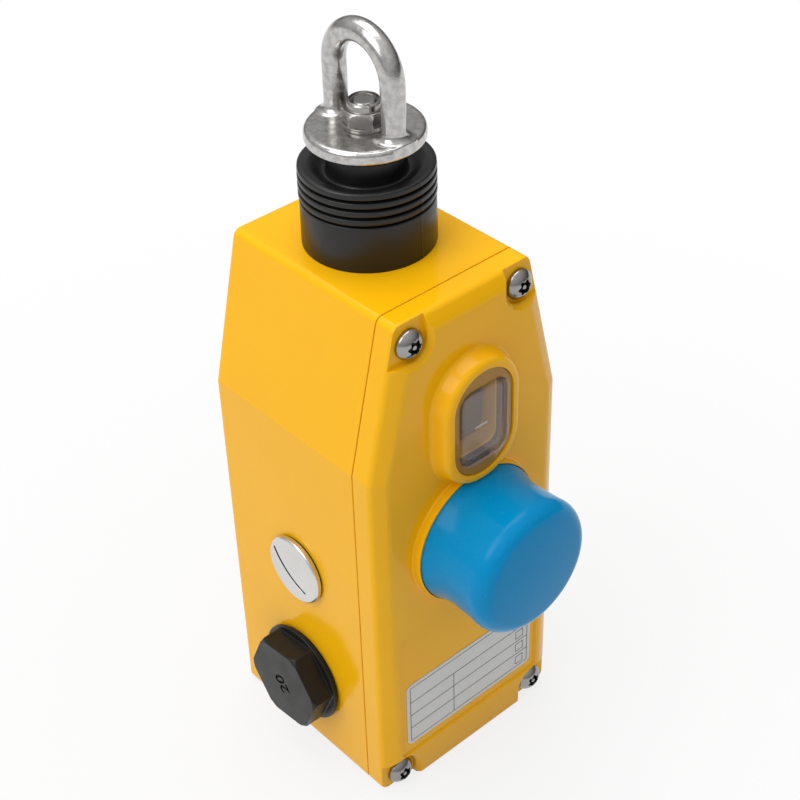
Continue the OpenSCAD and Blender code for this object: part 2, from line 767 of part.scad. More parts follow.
module window_lens() {
  color("#DCDAD2", 0.4) {
    obround(lens_back_y, lens_y, lens_r, lens_half_h);
    round_pane(lens_y, lens_y - pad_h + 0.4, pad_half_w, pad_half_h, pad_corner);
    round_pane(lens_y, lens_y - pad_h, pad_half_w - 1, pad_half_h - 1, pad_corner - 0.6);
    for (s = [-1, 1]) rod_y(0, win_z + s*pin_z, lens_back_y + pin_l, lens_back_y - 0.1, lens_pin_r);
  }
}
module lens_seal() {
  color("#A09A90")
  pane_frame(lens_back_y + lens_seal_t, lens_back_y, seal_half_w, seal_half_h, seal_corner, lens_seal_w);
}

// ---- Reset button ----

// The cap narrows to a waist in front of the boss and widens again towards its rounded front
module reset_cap() {
  at = function (y) reset_axis_depth(y);
  neck = 6.5;
  swell_from = at(rim_y) + 0.4 + neck;
  bend_z = at(cap_front_y) - cap_crown - cap_round;
  swell = bend_z - swell_from;
  color("#008FC8")
  turned_y(concat(
    [[cap_r - cap_wall, at(cap_back_y)], [cap_r, at(cap_back_y)]],
    [for (i = [0:6]) [cap_waist_r + (cap_r - cap_waist_r)*pow(1 - i/6, 2), at(rim_y) + 0.4 + neck*i/6]],
    [for (i = [1:3]) [cap_waist_r + (cap_front_r - cap_waist_r)*pow(i/4, 2), swell_from + swell*i/4]],
    [for (a = [0:15:90]) [cap_front_r - cap_round*(1 - cos(a)), bend_z + cap_round*sin(a)]],
    [[(cap_front_r - cap_round)/2, at(cap_front_y) - cap_crown*0.25], [0, at(cap_front_y)],
     [0, at(cap_in_y) + 0.01], [stem_r + run, at(cap_in_y)], [stem_r + run, at(cap_in_y) - socket_l],
     [socket_r, at(cap_in_y) - socket_l], [socket_r, at(cap_in_y)],
     [cap_front_r - cap_round, at(cap_in_y)], [cap_front_r - cap_wall, at(cap_in_y) - cap_round]]
  ));
}
module reset_stem() {
  color(steel)
  difference() {
    union() {
      rod_y(0, reset_z, cap_in_y + 0.05, fork_y, stem_r);
      rod_y(0, reset_z, fork_y - lap, fork_y + fork_t + lap, fork_tail);
      rod_y(0, reset_z, fork_y + fork_t, fork_y + fork_t + tail_t, fork_tail + 0.9);
    }
    // Groove that holds the clip
    difference() {
      rod_y(0, reset_z, clip_y, clip_y + clip_t, stem_r + cut);
      rod_y(0, reset_z, clip_y - cut, clip_y + clip_t + cut, stem_r - 0.6);
    }
  }
}
module reset_bush() {
  color("#3A3A3C")
  difference() {
    union() {
      rod_y(0, reset_z, seat_y - reset_flange_t, seat_y, reset_bush_r + reset_flange);
      rod_y(0, reset_z, seat_y - lap, reset_end_y, reset_bush_r);
    }
    rod_y(0, reset_z, seat_y - reset_flange_t - cut, reset_end_y + cut, stem_r + run);
  }
}
module reset_spring() {
  seat = seat_y - reset_flange_t;
  color(zinc)
  translate([0, seat - 0.05, reset_z]) rotate([90, 0, 0])
    coil(stem_r + 2.6 + 2*reset_wire + 0.3, reset_wire, seat - cap_in_y - 0.1, 6);
}
module stem_clip() {
  color(steel)
  difference() {
    rod_y(0, reset_z, clip_y + 0.05, clip_y + clip_t - 0.05, stem_r + 2.2);
    rod_y(0, reset_z, clip_y - cut, clip_y + clip_t + cut, stem_r - 0.55);
    block(-1.5, 1.5, clip_y - cut, clip_y + clip_t + cut, reset_z - stem_r - clip_mouth, reset_z - stem_r + 2);
  }
}
module latch_fork() {
  color(zinc)
  difference() {
    union() {
      block(-fork_half, fork_half, fork_y, fork_y + fork_t, reset_z - fork_hh, reset_z + fork_hh);
      for (s = [-1, 1])
        block(min(s*fork_in, s*fork_half), max(s*fork_in, s*fork_half), fork_y, fork_reach,
              reset_z - fork_hh, reset_z + fork_hh);
    }
    rod_y(0, reset_z, fork_y - cut, fork_y + fork_t + cut, fork_tail + run);
  }
}

// ---- Rope eye, shaft and boot ----

module rope_eye() {
  wire = ring_wire/2;
  soft = 1.2;
  color("#CFCFCF")
  difference() {
    union() {
      translate([0, 0, disc_z]) rotate_extrude($fn = 96) polygon(concat(
        [[0, 0]],
        [for (a = [-90:30:0]) [disc_r - soft + soft*cos(a), soft + soft*sin(a)]],
        [for (a = [0:30:90]) [disc_r - soft + soft*cos(a), disc_t - soft + soft*sin(a)]],
        [[0, disc_t]]
      ));
      translate([0, 0, ring_c_z]) rotate([90, 0, 90]) rotate_extrude(angle = 180, $fn = 96)
        translate([ring_r, 0]) circle(r = wire, $fn = 48);
      for (s = [-1, 1]) translate([0, s*ring_r, 0]) rod_z(washer_z - 1, ring_c_z, wire);
      // Fillets at the feet of the legs, kept within the disc
      intersection() {
        for (s = [-1, 1]) translate([0, s*ring_r, washer_z]) rotate_extrude($fn = 48) polygon(concat(
          [[0, -1], [wire + leg_fillet, -1]],
          [for (a = [0:18:90]) [wire + leg_fillet*(1 - sin(a)), leg_fillet*(1 - cos(a))]],
          [[0, leg_fillet]]
        ));
        tube_z(disc_z + soft, ring_c_z, disc_r, washer_r + seat_gap);
      }
    }
    rod_z(disc_z - cut, washer_z + cut, stud_r + loose);
  }
}
module eye_washer() {
  color(steel) tube_z(washer_z, washer_z + washer_t, washer_r, stud_r + loose);
}
// A lock nut: a hexagon with chamfered corners and a round collar that grips the stud
module eye_nut() {
  hex_h = nut_h*0.66;
  corner = nut_af/2/cos(30);
  color(steel)
  difference() {
    union() {
      intersection() {
        translate([0, 0, nut_z]) rotate([0, 0, nut_turn]) cylinder(h = hex_h, r = corner, $fn = 6);
        translate([0, 0, nut_z]) cylinder(h = hex_h, r1 = corner + 1.6, r2 = nut_af/2 - 0.1);
      }
      translate([0, 0, nut_z + hex_h - 0.1]) rotate_extrude() polygon([
        [0, 0], [collar_r, 0], [collar_r, nut_h - hex_h - 0.4], [collar_r - 0.5, nut_h - hex_h + 0.1],
        [0, nut_h - hex_h + 0.1]
      ]);
    }
    rod_z(nut_z - cut, nut_z + nut_h + cut, stud_r + 0.02);
    rod_z(nut_z + nut_h - 0.7, nut_z + nut_h + cut, stud_r + 0.45);
  }
}
module pull_shaft() {
  color(steel)
  difference() {
    union() {
      rod_z(shaft_low, disc_z, shaft_r);
      rod_z(disc_z - lap, nut_z + nut_h - 0.9, stud_r);
      translate([0, 0, nut_z + nut_h - 0.91]) cylinder(h = 0.7, r1 = stud_r, r2 = stud_r - 0.6);
    }
    for (z = [collar_z + collar_t/2, cam_pin_z]) rod_x(-shaft_r - cut, shaft_r + cut, 0, z, pin_r + 0.02);
  }
}
module boot() {
  groove = 0.35;
  ridge = function (i) fold_z + i*fold_h;
  color(rubber_black)
  rotate_extrude($fn = 96) polygon(concat(
    [[boot_in, body_h], [boot_r, body_h], [boot_r, fold_z - 0.3]],
    [for (i = [0:folds - 1]) each [
      [boot_r - fold_d, ridge(i)], [boot_r - fold_d, ridge(i) + groove],
      [boot_r + 0.1, ridge(i) + 2*groove], [boot_r + 0.1, ridge(i + 1) - 0.3]]],
    [[boot_r - 0.25, lip_z + 0.05], [boot_r - 0.9, lip_z + 0.2]],
    [for (t = [1:-0.125:0]) [dish_in + (dish_out - dish_in)*t, cup_z + (lip_z - cup_z)*(1 - cos(180*t))/2]],
    [[sleeve_r + 0.1, cup_z + 0.3], [sleeve_r, cup_z + 0.8], [sleeve_r, sleeve_top], [boot_bore, sleeve_top],
     [boot_bore, boot_floor], [boot_in - 1, boot_floor], [boot_in - 0.4, neck_z + free], [boot_in, neck_z]]
  ));
}
module shaft_bush() {
  color("#B08D57")
  difference() {
    union() {
      rod_z(top_in - bush_flange_t, top_in, bush_flange_r);
      rod_z(top_in - lap, neck_z, bush_r);
    }
    rod_z(top_in - bush_flange_t - cut, neck_z + cut, shaft_r + run);
  }
}
module main_spring() {
  color(zinc)
  translate([0, 0, collar_top + 0.05]) coil(spring_r, spring_wire, spring_top - collar_top - 0.1, 8);
}
module spring_collar() {
  color(zinc)
  difference() {
    tube_z(collar_z, collar_top, spring_r + 0.5, shaft_r + 0.02);
    rod_x(-spring_r - cut, spring_r + cut, 0, collar_z + collar_t/2, pin_r + 0.02);
  }
}
module roll_pins() {
  color(steel) {
    rod_x(-spring_r + 0.5, spring_r - 0.5, 0, collar_z + collar_t/2, pin_r);
    rod_x(-cam_head_r + 0.5, cam_head_r - 0.5, 0, cam_pin_z, pin_r);
  }
}

// ---- Indicator, cam and contacts ----

module indicator_arm() {
  color(cream)
  difference() {
    union() {
      block(-card_half, card_half, card_y, card_y + card_t, card_low, card_top);
      block(-arm_half, arm_half, card_y + card_t - 0.1, 0, arm_z, collar_z);
      rod_z(arm_z, collar_z, arm_r);
    }
    rod_z(arm_z - cut, collar_z + cut, shaft_r + 0.02);
  }
}
module indicator_flag() {
  color("#4A4E52")
  round_pane(card_y, flag_y, flag_half_w, flag_half_h, 1);
}
module indicator_mark() {
  color("white")
  block(-mark_half, mark_half, lens_back_y, lens_back_y + mark_t, mark_z - mark_hh, mark_z + mark_hh);
}
module cam_sleeve() {
  // Half the cam's width at height z, so the plungers follow it at a constant rate
  width_at = function (z) cam_half + cam_slope*(plunger_z - z);
  low = cam_low;
  high = plunger_z + 4;
  color("#E6E6E0")
  difference() {
    union() {
      translate([0, cam_depth, 0]) rotate([90, 0, 0]) linear_extrude(2*cam_depth)
        polygon([[-width_at(low), low], [width_at(low), low],
                 [width_at(high), high], [-width_at(high), high]]);
      rod_z(high - 0.1, cam_top, cam_head_r);
    }
    rod_z(low - cut, cam_top + cut, shaft_r + 0.02);
    rod_x(-cam_head_r - cut, cam_head_r + cut, 0, cam_pin_z, pin_r + 0.02);
  }
}
module lower_guide() {
  color(zinc)
  difference() {
    union() {
      rod_z(guide_z, guide_z + guide_t, guide_r);
      block(-guide_r, guide_r, 0, inner_y, guide_z, guide_z + guide_t);
      block(-guide_r, guide_r, inner_y - 2.5, inner_y, guide_z, guide_z + 2*guide_t);
    }
    rod_z(guide_z - cut, guide_z + guide_t + cut, shaft_r + run);
  }
}
// One contact block on the side s of the pull axis, with a bore for its plunger
module contact_block(s) {
  low = block_low;
  high = low + block_h;
  difference() {
    block(min(s*block_in, s*block_out), max(s*block_in, s*block_out), -block_front, inner_y, low, high);
    rod_x(s*(block_in - cut), s*bore_end, 0, plunger_z, plunger_r + run);
    for (z = [low + terminal_edge, high - terminal_edge]) {
      rod_y(s*block_x, z, -block_front - cut, -block_front + 3, terminal_r + 0.5);
      block(s*block_x - terminal_half, s*block_x + terminal_half, -block_front - cut, -block_front + 1.2,
            z - terminal_r, z + terminal_r);
    }
  }
}
module contact_block_left() {
  color("#3C3F44") contact_block(-1);
}
module contact_block_right() {
  color("#3C3F44") contact_block(1);
}
module plunger(s) {
  translate([s*tip_x, 0, plunger_z]) sphere(r = plunger_r, $fn = 32);
  rod_x(s*tip_x, s*plunger_end, 0, plunger_z, plunger_r);
}
module plunger_left() {
  color("#B03028") plunger(-1);
}
module plunger_right() {
  color("#B03028") plunger(1);
}
module slotted_screw(l) {
  difference() {
    union() {
      cylinder(h = 1.8, r = terminal_r);
      translate([0, 0, -l]) cylinder(h = l + 0.1, r = 1.4);
    }
    translate([-terminal_r - 1, -0.35, 1]) cube([2*terminal_r + 2, 0.7, 2]);
  }
}
module terminal_screws() {
  color("#C9B98A")
  for (s = [-1, 1], z = [block_low + terminal_edge, block_low + block_h - terminal_edge])
    translate([s*block_x, -block_front + 3, z]) rotate([90, 0, 0]) slotted_screw(0);
}
module earth_screw() {
  color("#C9B98A")
  translate([0, inner_y - earth_boss, earth_z]) rotate([90, 0, 0]) difference() {
    union() {
      cylinder(h = 2.4, r = 3.6);
      translate([0, 0, -6]) cylinder(h = 6.1, r = screw_r - 0.03);
    }
    translate([-5, -0.5, 1.3]) cube([10, 1, 2]);
  }
}

// ---- Side entries ----

// The M20 blanking plug on the side s: threaded shank, flange and a hexagon with bevelled corners
module conduit_plug(s) {
  face = half_w + hex_reach;
  corner = hex_af/2/cos(30);
  rod_x(s*shank_end, s*(half_w + flange_t), -entry_y, entry_z, entry_r - loose);
  rod_x(s*(half_w + seal_t), s*(half_w + flange_t), -entry_y, entry_z, flange_r);
  intersection() {
    translate([s*(half_w + flange_t - 0.1), -entry_y, entry_z]) rotate([hex_turn, 0, 0]) rotate([0, s*90, 0])
      cylinder(h = face - half_w - flange_t + 0.1, r = corner, $fn = 6);
    translate([s*half_w, -entry_y, entry_z]) rotate([0, s*90, 0])
      cylinder(h = hex_reach, r1 = corner + 7, r2 = hex_af/2 + 0.9);
  }
}
module conduit_plug_left() {
  color(rubber_black) conduit_plug(-1);
}
module conduit_plug_right() {
  color(rubber_black) conduit_plug(1);
}
module plug_seal(s) {
  difference() {
    rod_x(s*half_w, s*(half_w + seal_t), -entry_y, entry_z, flange_r - 1);
    rod_x(s*(half_w - cut), s*(half_w + seal_t + cut), -entry_y, entry_z, entry_r + 0.05);
  }
}
module plug_seal_left() {
  color("#222222") plug_seal(-1);
}
module plug_seal_right() {
  color("#222222") plug_seal(1);
}
module coin_plug() {
  face = half_w + coin_t;
  color(steel)
  difference() {
    union() {
      rod_x(-half_w + coin_shank, -half_w - coin_seal_t - lap, -coin_y, coin_z, coin_shank_r);
      translate([-half_w - coin_seal_t, -coin_y, coin_z]) rotate([0, -90, 0])
        rotate_extrude($fn = 96) polygon([[0, 0], [coin_r, 0], [coin_r, coin_t - coin_seal_t - 0.4],
                                          [coin_r - 0.4, coin_t - coin_seal_t], [0, coin_t - coin_seal_t]]);
    }
    translate([-face - cut, slot_centre.x - coin_y, coin_z + slot_centre.y]) rotate([90, 0, 90])
      rotate([0, 0, slot_from]) rotate_extrude(angle = slot_turn, $fn = 96)
      translate([slot_r - slot_w/2, 0]) square([slot_w, slot_d + cut]);
  }
}
module coin_seal() {
  color("#222222")
  difference() {
    rod_x(-half_w, -half_w - coin_seal_t, -coin_y, coin_z, coin_r - 0.4);
    rod_x(-half_w + cut, -half_w - coin_seal_t - cut, -coin_y, coin_z, coin_shank_r + 0.05);
  }
}

housing();
lid();
lid_gasket();
lid_screws();
label_plate();
window_lens();
lens_seal();
reset_cap();
reset_stem();
reset_spring();
reset_bush();
stem_clip();
latch_fork();
rope_eye();
eye_washer();
eye_nut();
pull_shaft();
boot();
shaft_bush();
main_spring();
spring_collar();
roll_pins();
indicator_arm();
indicator_flag();
indicator_mark();
cam_sleeve();
lower_guide();
contact_block_left();
contact_block_right();
plunger_left();
plunger_right();
terminal_screws();
earth_screw();
conduit_plug_left();
conduit_plug_right();
plug_seal_left();
plug_seal_right();
coin_plug();
coin_seal();
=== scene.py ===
"""Visual model of the rope pull switch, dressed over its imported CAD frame."""

import json
import logging
import math
from dataclasses import dataclass
from enum import Enum
from functools import partial
from typing import Callable, Iterable, Sequence

import bmesh
import bpy
from mathutils import Matrix, Vector

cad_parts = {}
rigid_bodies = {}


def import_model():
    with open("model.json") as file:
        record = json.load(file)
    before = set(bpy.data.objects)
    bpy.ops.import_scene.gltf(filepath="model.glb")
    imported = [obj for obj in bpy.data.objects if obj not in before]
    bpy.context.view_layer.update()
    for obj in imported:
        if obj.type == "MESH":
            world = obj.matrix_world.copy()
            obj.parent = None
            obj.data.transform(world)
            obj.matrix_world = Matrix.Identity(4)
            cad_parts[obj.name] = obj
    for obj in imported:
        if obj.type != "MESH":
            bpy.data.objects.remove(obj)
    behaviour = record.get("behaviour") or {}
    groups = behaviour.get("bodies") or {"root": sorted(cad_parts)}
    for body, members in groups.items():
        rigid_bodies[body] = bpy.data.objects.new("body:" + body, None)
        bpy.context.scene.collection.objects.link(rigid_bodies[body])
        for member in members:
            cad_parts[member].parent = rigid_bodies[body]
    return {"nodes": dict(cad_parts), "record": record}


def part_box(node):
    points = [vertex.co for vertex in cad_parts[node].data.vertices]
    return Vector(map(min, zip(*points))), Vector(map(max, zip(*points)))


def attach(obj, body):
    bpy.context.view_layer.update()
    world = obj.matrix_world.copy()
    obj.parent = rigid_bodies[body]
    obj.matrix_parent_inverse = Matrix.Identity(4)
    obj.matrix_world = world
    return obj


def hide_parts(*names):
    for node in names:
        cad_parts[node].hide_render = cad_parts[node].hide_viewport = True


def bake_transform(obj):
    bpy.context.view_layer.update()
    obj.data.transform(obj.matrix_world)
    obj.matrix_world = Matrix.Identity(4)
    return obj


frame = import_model()

LOG = logging.getLogger("rope_pull_switch")
MM = 0.001

Point = tuple[float, float]
Colour = tuple[float, float, float]
Triple = tuple[float, float, float]
Ring = Callable[[float], Point]
Rule = Callable[[Vector, Vector, float], float]
Socket = bpy.types.NodeSocket
Source = Socket | float | int | tuple

JOIN_WITHIN = 0.0005 * MM
JOIN_CAD_WITHIN = 0.002 * MM
FLAT_WITHIN = 0.4
WIDEST_ROUNDING = 1.2 * MM
ROUNDING_FACES = 3
CORNER_SHARE = 0.48
RELAX = 0.5
MELTED_SHARP = 80.0


class Body(str, Enum):
    """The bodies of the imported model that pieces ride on."""

    CASE = "case"
    PULL = "pull_rod"
    RESET = "reset_button"


class Axis(Enum):
    """The axis that a turned piece is made about."""

    PULL = "z"
    BUTTON = "y"


class Side(Enum):
    """The side of the case that a plug closes."""

    LEFT = -1
    RIGHT = 1


# ---- Node trees and finishes ---------------------------------------------------------------------


def grey(level: float) -> Colour:
    """A neutral colour."""
    return (level, level, level)


class Wiring:
    """A node tree with short calls that add nodes and join them."""

    def __init__(self, tree: bpy.types.NodeTree) -> None:
        """Takes a tree.

        Args:
            tree: The tree to add nodes to.
        """
        self.tree = tree

    def link(self, source: Socket, target: Socket) -> None:
        """Joins an output socket to an input socket."""
        self.tree.links.new(source, target)

    def feed(self, target: Socket, value: Source) -> None:
        """Joins an input socket to a source, or sets its plain value.

        Args:
            target: The input socket.
            value: The source socket or the plain value.
        """
        if isinstance(value, bpy.types.NodeSocket):
            self.link(value, target)
        else:
            target.default_value = value

    def add(self, kind: str, **inputs: Source) -> bpy.types.Node:
        """Adds a node.

        Args:
            kind: The node's type.
            **inputs: Source socket or plain value by input name, with underscores for spaces.

        Returns:
            The node.
        """
        node = self.tree.nodes.new(kind)
        for name, value in inputs.items():
            self.feed(node.inputs[name.replace("_", " ")], value)
        return node

    def combine(self, kind: str, operation: str, *values: Source) -> bpy.types.Node:
        """Adds a node that works on values.

        Args:
            kind: The node's type.
            operation: Its operation.
            *values: Source socket or plain value of its first inputs.

        Returns:
            The node.
        """
        node = self.tree.nodes.new(kind)
        node.operation = operation
        for number, value in enumerate(values):
            self.feed(node.inputs[number], value)
        return node

    def math(self, operation: str, first: Source, second: Source) -> Socket:
        """Adds a math node and returns its result."""
        return self.combine("ShaderNodeMath", operation, first, second).outputs[0]

    def ramp(self, source: Socket, low: float, high: float,
             from_low: float = 0.35, from_high: float = 0.65) -> Socket:
        """Maps a factor to a range of values.

        Args:
            source: The factor.
            low: Value at the low end.
            high: Value at the high end.
            from_low: Factor that gives the low end.
            from_high: Factor that gives the high end.

        Returns:
            The mapped socket.
        """
        node = self.add("ShaderNodeMapRange", Value=source, From_Min=from_low, From_Max=from_high,
                        To_Min=low, To_Max=high)
        return node.outputs["Result"]


class Shader(Wiring):
    """A material under construction, with short calls for the nodes that the finishes share."""

    def __init__(self, name: str) -> None:
        """Starts an empty node material with a Principled shader.

        Args:
            name: The material's name.
        """
        self.material = bpy.data.materials.new(name)
        self.material.use_nodes = True
        super().__init__(self.material.node_tree)
        self.tree.nodes.clear()
        self.principled = self.add("ShaderNodeBsdfPrincipled")
        output = self.add("ShaderNodeOutputMaterial")
        self.link(self.principled.outputs["BSDF"], output.inputs["Surface"])
        self.coords = self.add("ShaderNodeTexCoord").outputs["Object"]

    def set(self, **values: float | Colour) -> "Shader":
        """Sets values on the Principled shader's own sockets.

        Args:
            **values: Value by socket name, with underscores for spaces.

        Returns:
            The shader, so that calls can be chained.
        """
        for name, value in values.items():
            socket = self.principled.inputs[name.replace("_", " ")]
            socket.default_value = (*value, 1.0) if isinstance(value, tuple) else value
        return self

    def noise(self, scale: float, detail: float = 2.0, rough: float = 0.5) -> Socket:
        """Adds noise on Object coordinates.

        Args:
            scale: Cells per metre.
            detail: Octaves of the noise.
            rough: How much the finer octaves count.

        Returns:
            The noise's factor.
        """
        node = self.add("ShaderNodeTexNoise", Vector=self.coords, Scale=scale, Detail=detail, Roughness=rough)
        return node.outputs["Fac"]

    def blend(self, factor: Socket, first: Colour | Socket, second: Colour) -> Socket:
        """Mixes two colours by a factor.

        Args:
            factor: Share of the second colour.
            first: The first colour, or a socket that gives it.
            second: The second colour.

        Returns:
            The mixed colour.
        """
        node = self.tree.nodes.new("ShaderNodeMix")
        node.data_type = "RGBA"
        self.link(factor, node.inputs["Factor"])
        near, far = (socket for socket in node.inputs if socket.type == "RGBA")
        self.feed(near, (*first, 1.0) if isinstance(first, tuple) else first)
        self.feed(far, (*second, 1.0))
        return next(socket for socket in node.outputs if socket.type == "RGBA")

    def bump(self, height: Socket, distance: float) -> "Shader":
        """Adds a bump on top of any bump that is already there.

        Args:
            height: The height factor.
            distance: Depth of the bump in metres.

        Returns:
            The shader, so that calls can be chained.
        """
        target = self.principled.inputs["Normal"]
        node = self.add("ShaderNodeBump", Distance=distance, Strength=1.0, Height=height)
        if target.is_linked:
            self.link(target.links[0].from_socket, node.inputs["Normal"])
        self.link(node.outputs["Normal"], target)
        return self

    def colour(self, source: Socket) -> "Shader":
        """Drives the base colour from a socket."""
        self.link(source, self.principled.inputs["Base Color"])
        return self

    def roughness(self, source: Socket) -> "Shader":
        """Drives the roughness from a socket."""
        self.link(source, self.principled.inputs["Roughness"])
        return self


@dataclass(frozen=True)
class PowderCoat:
    """Glossy sprayed coat on cast metal, with a faint orange peel."""

    base: Colour = (0.91, 0.465, 0.003)
    deep: Colour = (0.87, 0.44, 0.003)
    gloss: float = 0.15
    specular: float = 0.2
    cloud_scale: float = 60.0
    sheen_scale: float = 35.0
    sheen: Point = (-0.02, 0.05)
    peel_scale: float = 900.0
    peel_depth: float = 0.012 * MM

    def material(self, name: str) -> bpy.types.Material:
        """Builds the coat's material.

        Args:
            name: The material's name.

        Returns:
            The material.
        """
        shader = Shader(name)
        shader.set(Specular_IOR_Level=self.specular)
        shader.colour(shader.blend(shader.noise(self.cloud_scale, 3.0), self.base, self.deep))
        smooth, dull = self.sheen
        shader.roughness(shader.ramp(shader.noise(self.sheen_scale), self.gloss + smooth, self.gloss + dull))
        shader.bump(shader.noise(self.peel_scale, 1.0), self.peel_depth)
        return shader.material


@dataclass(frozen=True)
class Moulding:
    """Moulded plastic, rubber or film, with a fine grain and a faint change of tone."""

    base: Colour
    deep: Colour
    rough: float
    grain_scale: float = 2500.0
    grain_depth: float = 0.01 * MM
    specular: float = 0.5
    speck: float = 0.0
    speck_scale: float = 1900.0
    speck_range: Point = (0.66, 0.74)
    speck_tone: Colour = (0.75, 0.78, 0.8)
    cloud_scale: float = 45.0
    sheen_scale: float = 120.0
    sheen: Point = (-0.05, 0.06)

    def material(self, name: str) -> bpy.types.Material:
        """Builds the moulding's material.

        Args:
            name: The material's name.

        Returns:
            The material.
        """
        shader = Shader(name)
        shader.set(Specular_IOR_Level=self.specular)
        tone = shader.blend(shader.noise(self.cloud_scale, 4.0), self.base, self.deep)
        if self.speck:
            dust = shader.ramp(shader.noise(self.speck_scale, 1.0), 0.0, self.speck, *self.speck_range)
            tone = shader.blend(dust, tone, self.speck_tone)
        shader.colour(tone)
        smooth, dull = self.sheen
        sheen = shader.ramp(shader.noise(self.sheen_scale, 3.0), self.rough + smooth, self.rough + dull)
        shader.roughness(sheen)
        shader.bump(shader.noise(self.grain_scale, 2.0), self.grain_depth)
        return shader.material


@dataclass(frozen=True)
class BareMetal:
    """Uncoated metal: turned, tumbled or plated, with a fine grain."""

    base: Colour
    deep: Colour
    rough: float
    spread: float
    grain_scale: float = 1500.0
    grain_depth: float = 0.006 * MM
    mottle: float = 90.0
    sheen_scale: float = 240.0

    def material(self, name: str) -> bpy.types.Material:
        """Builds the metal's material.

        Args:
            name: The material's name.

        Returns:
            The material.
        """
        shader = Shader(name)
        shader.set(Metallic=1.0)
        cloud = shader.ramp(shader.noise(self.mottle, 4.0), 0.0, 1.0)
        shader.colour(shader.blend(cloud, self.base, self.deep))
        sheen = shader.ramp(shader.noise(self.sheen_scale, 3.0), self.rough, self.rough + self.spread)
        shader.roughness(sheen)
        shader.bump(shader.noise(self.grain_scale, 3.0, 0.6), self.grain_depth)
        return shader.material


@dataclass(frozen=True)
class ClearMoulding:
    """Clear moulded plastic that tints what is behind it."""

    base: Colour
    cover: float
    ior: float
    rough: float = 0.05
    sheen_scale: float = 300.0
    ripple_scale: float = 400.0
    ripple_depth: float = 0.006 * MM

    def material(self, name: str) -> bpy.types.Material:
        """Builds the clear plastic's material.

        Args:
            name: The material's name.

        Returns:
            The material.
        """
        shader = Shader(name)
        shader.set(Base_Color=self.base, IOR=self.ior, Alpha=self.cover)
        shader.roughness(shader.ramp(shader.noise(self.sheen_scale, 3.0), self.rough, 2 * self.rough))
        shader.bump(shader.noise(self.ripple_scale), self.ripple_depth)
        return shader.material


class Finishes:
    """All the finishes of the switch, each made once."""

    def __init__(self) -> None:
        """Builds every material."""
        self.yellow = PowderCoat().material("yellow_powder_coat")
        self.blue = Moulding((0.0, 0.245, 0.53), (0.0, 0.235, 0.51), 0.18, 700.0, 0.012 * MM,
                             specular=0.12, speck=0.03).material("blue_cap")
        self.boot = Moulding(grey(0.006), grey(0.009), 0.34, specular=0.42).material("boot_rubber")
        self.seal = Moulding(grey(0.008), grey(0.012), 0.6, specular=0.3).material("seal_rubber")
        self.plug = Moulding(grey(0.007), (0.010, 0.010, 0.009), 0.36, 3500.0, 0.02 * MM,
                             specular=0.28).material("plug_plastic")
        self.cut = Moulding(grey(0.005), grey(0.007), 0.7, specular=0.1).material("plug_mark")
        self.dark = Moulding((0.06, 0.065, 0.07), (0.05, 0.055, 0.06), 0.4).material("dark_plastic")
        self.slate = Moulding((0.02, 0.024, 0.024), (0.017, 0.02, 0.02), 0.4,
                              specular=0.2).material("indicator_slate")
        self.pin = Moulding((0.10, 0.055, 0.015), (0.08, 0.045, 0.012), 0.3).material("pin_amber")
        self.cream = Moulding((0.55, 0.45, 0.30), (0.50, 0.41, 0.27), 0.5).material("cream_plastic")
        self.white = Moulding((0.85, 0.85, 0.83), (0.8, 0.8, 0.78), 0.35).material("white_inlay")
        self.acetal = Moulding((0.75, 0.74, 0.7), (0.7, 0.69, 0.65), 0.3).material("white_acetal")
        self.red = Moulding((0.5, 0.03, 0.02), (0.45, 0.025, 0.018), 0.35).material("red_plastic")
        self.label = Moulding((0.66, 0.66, 0.64), (0.63, 0.63, 0.61), 0.4, 4000.0,
                              0.004 * MM).material("label_film")
        self.ink = Moulding(grey(0.07), grey(0.09), 0.5).material("label_rule")
        self.eye = BareMetal((0.56, 0.55, 0.53), (0.42, 0.41, 0.40), 0.15, 0.09, 2600.0,
                             0.025 * MM, mottle=700.0).material("tumbled_steel")
        self.bright = BareMetal((0.38, 0.37, 0.35), (0.29, 0.28, 0.27), 0.14, 0.1).material("bright_steel")
        # Painted shade: a near-black steel on the walls and floors of the screw recesses and the coin slot,
        # standing in for the shade that falls inside them.
        self.recess = BareMetal((0.09, 0.09, 0.085), (0.06, 0.06, 0.055), 0.4, 0.1).material("recess_steel")
        self.nickel = BareMetal((0.70, 0.69, 0.67), (0.66, 0.65, 0.63), 0.25, 0.06, 3000.0,
                                0.004 * MM).material("nickel_plate")
        self.zinc = BareMetal((0.55, 0.56, 0.57), (0.5, 0.51, 0.52), 0.3, 0.08).material("zinc_plate")
        self.brass = BareMetal((0.65, 0.5, 0.24), (0.6, 0.46, 0.22), 0.25, 0.08).material("brass_plate")
        self.bronze = BareMetal((0.48, 0.3, 0.14), (0.42, 0.26, 0.12), 0.35, 0.08).material("sintered_bronze")
        self.clear = ClearMoulding((0.55, 0.44, 0.36), 0.2, 2.2).material("clear_lens")
        self.amber = ClearMoulding((0.42, 0.21, 0.015), 0.85, 1.45).material("clear_lens_rim")


# ---- Mesh building -------------------------------------------------------------------------------


def link_object(mesh: bpy.types.Mesh, name: str) -> bpy.types.Object:
    """Puts a mesh into the scene as an object at the origin.

    Args:
        mesh: The mesh.
        name: The object's name.

    Returns:
        The new object.
    """
    piece = bpy.data.objects.new(name, mesh)
    bpy.context.scene.collection.objects.link(piece)
    return piece


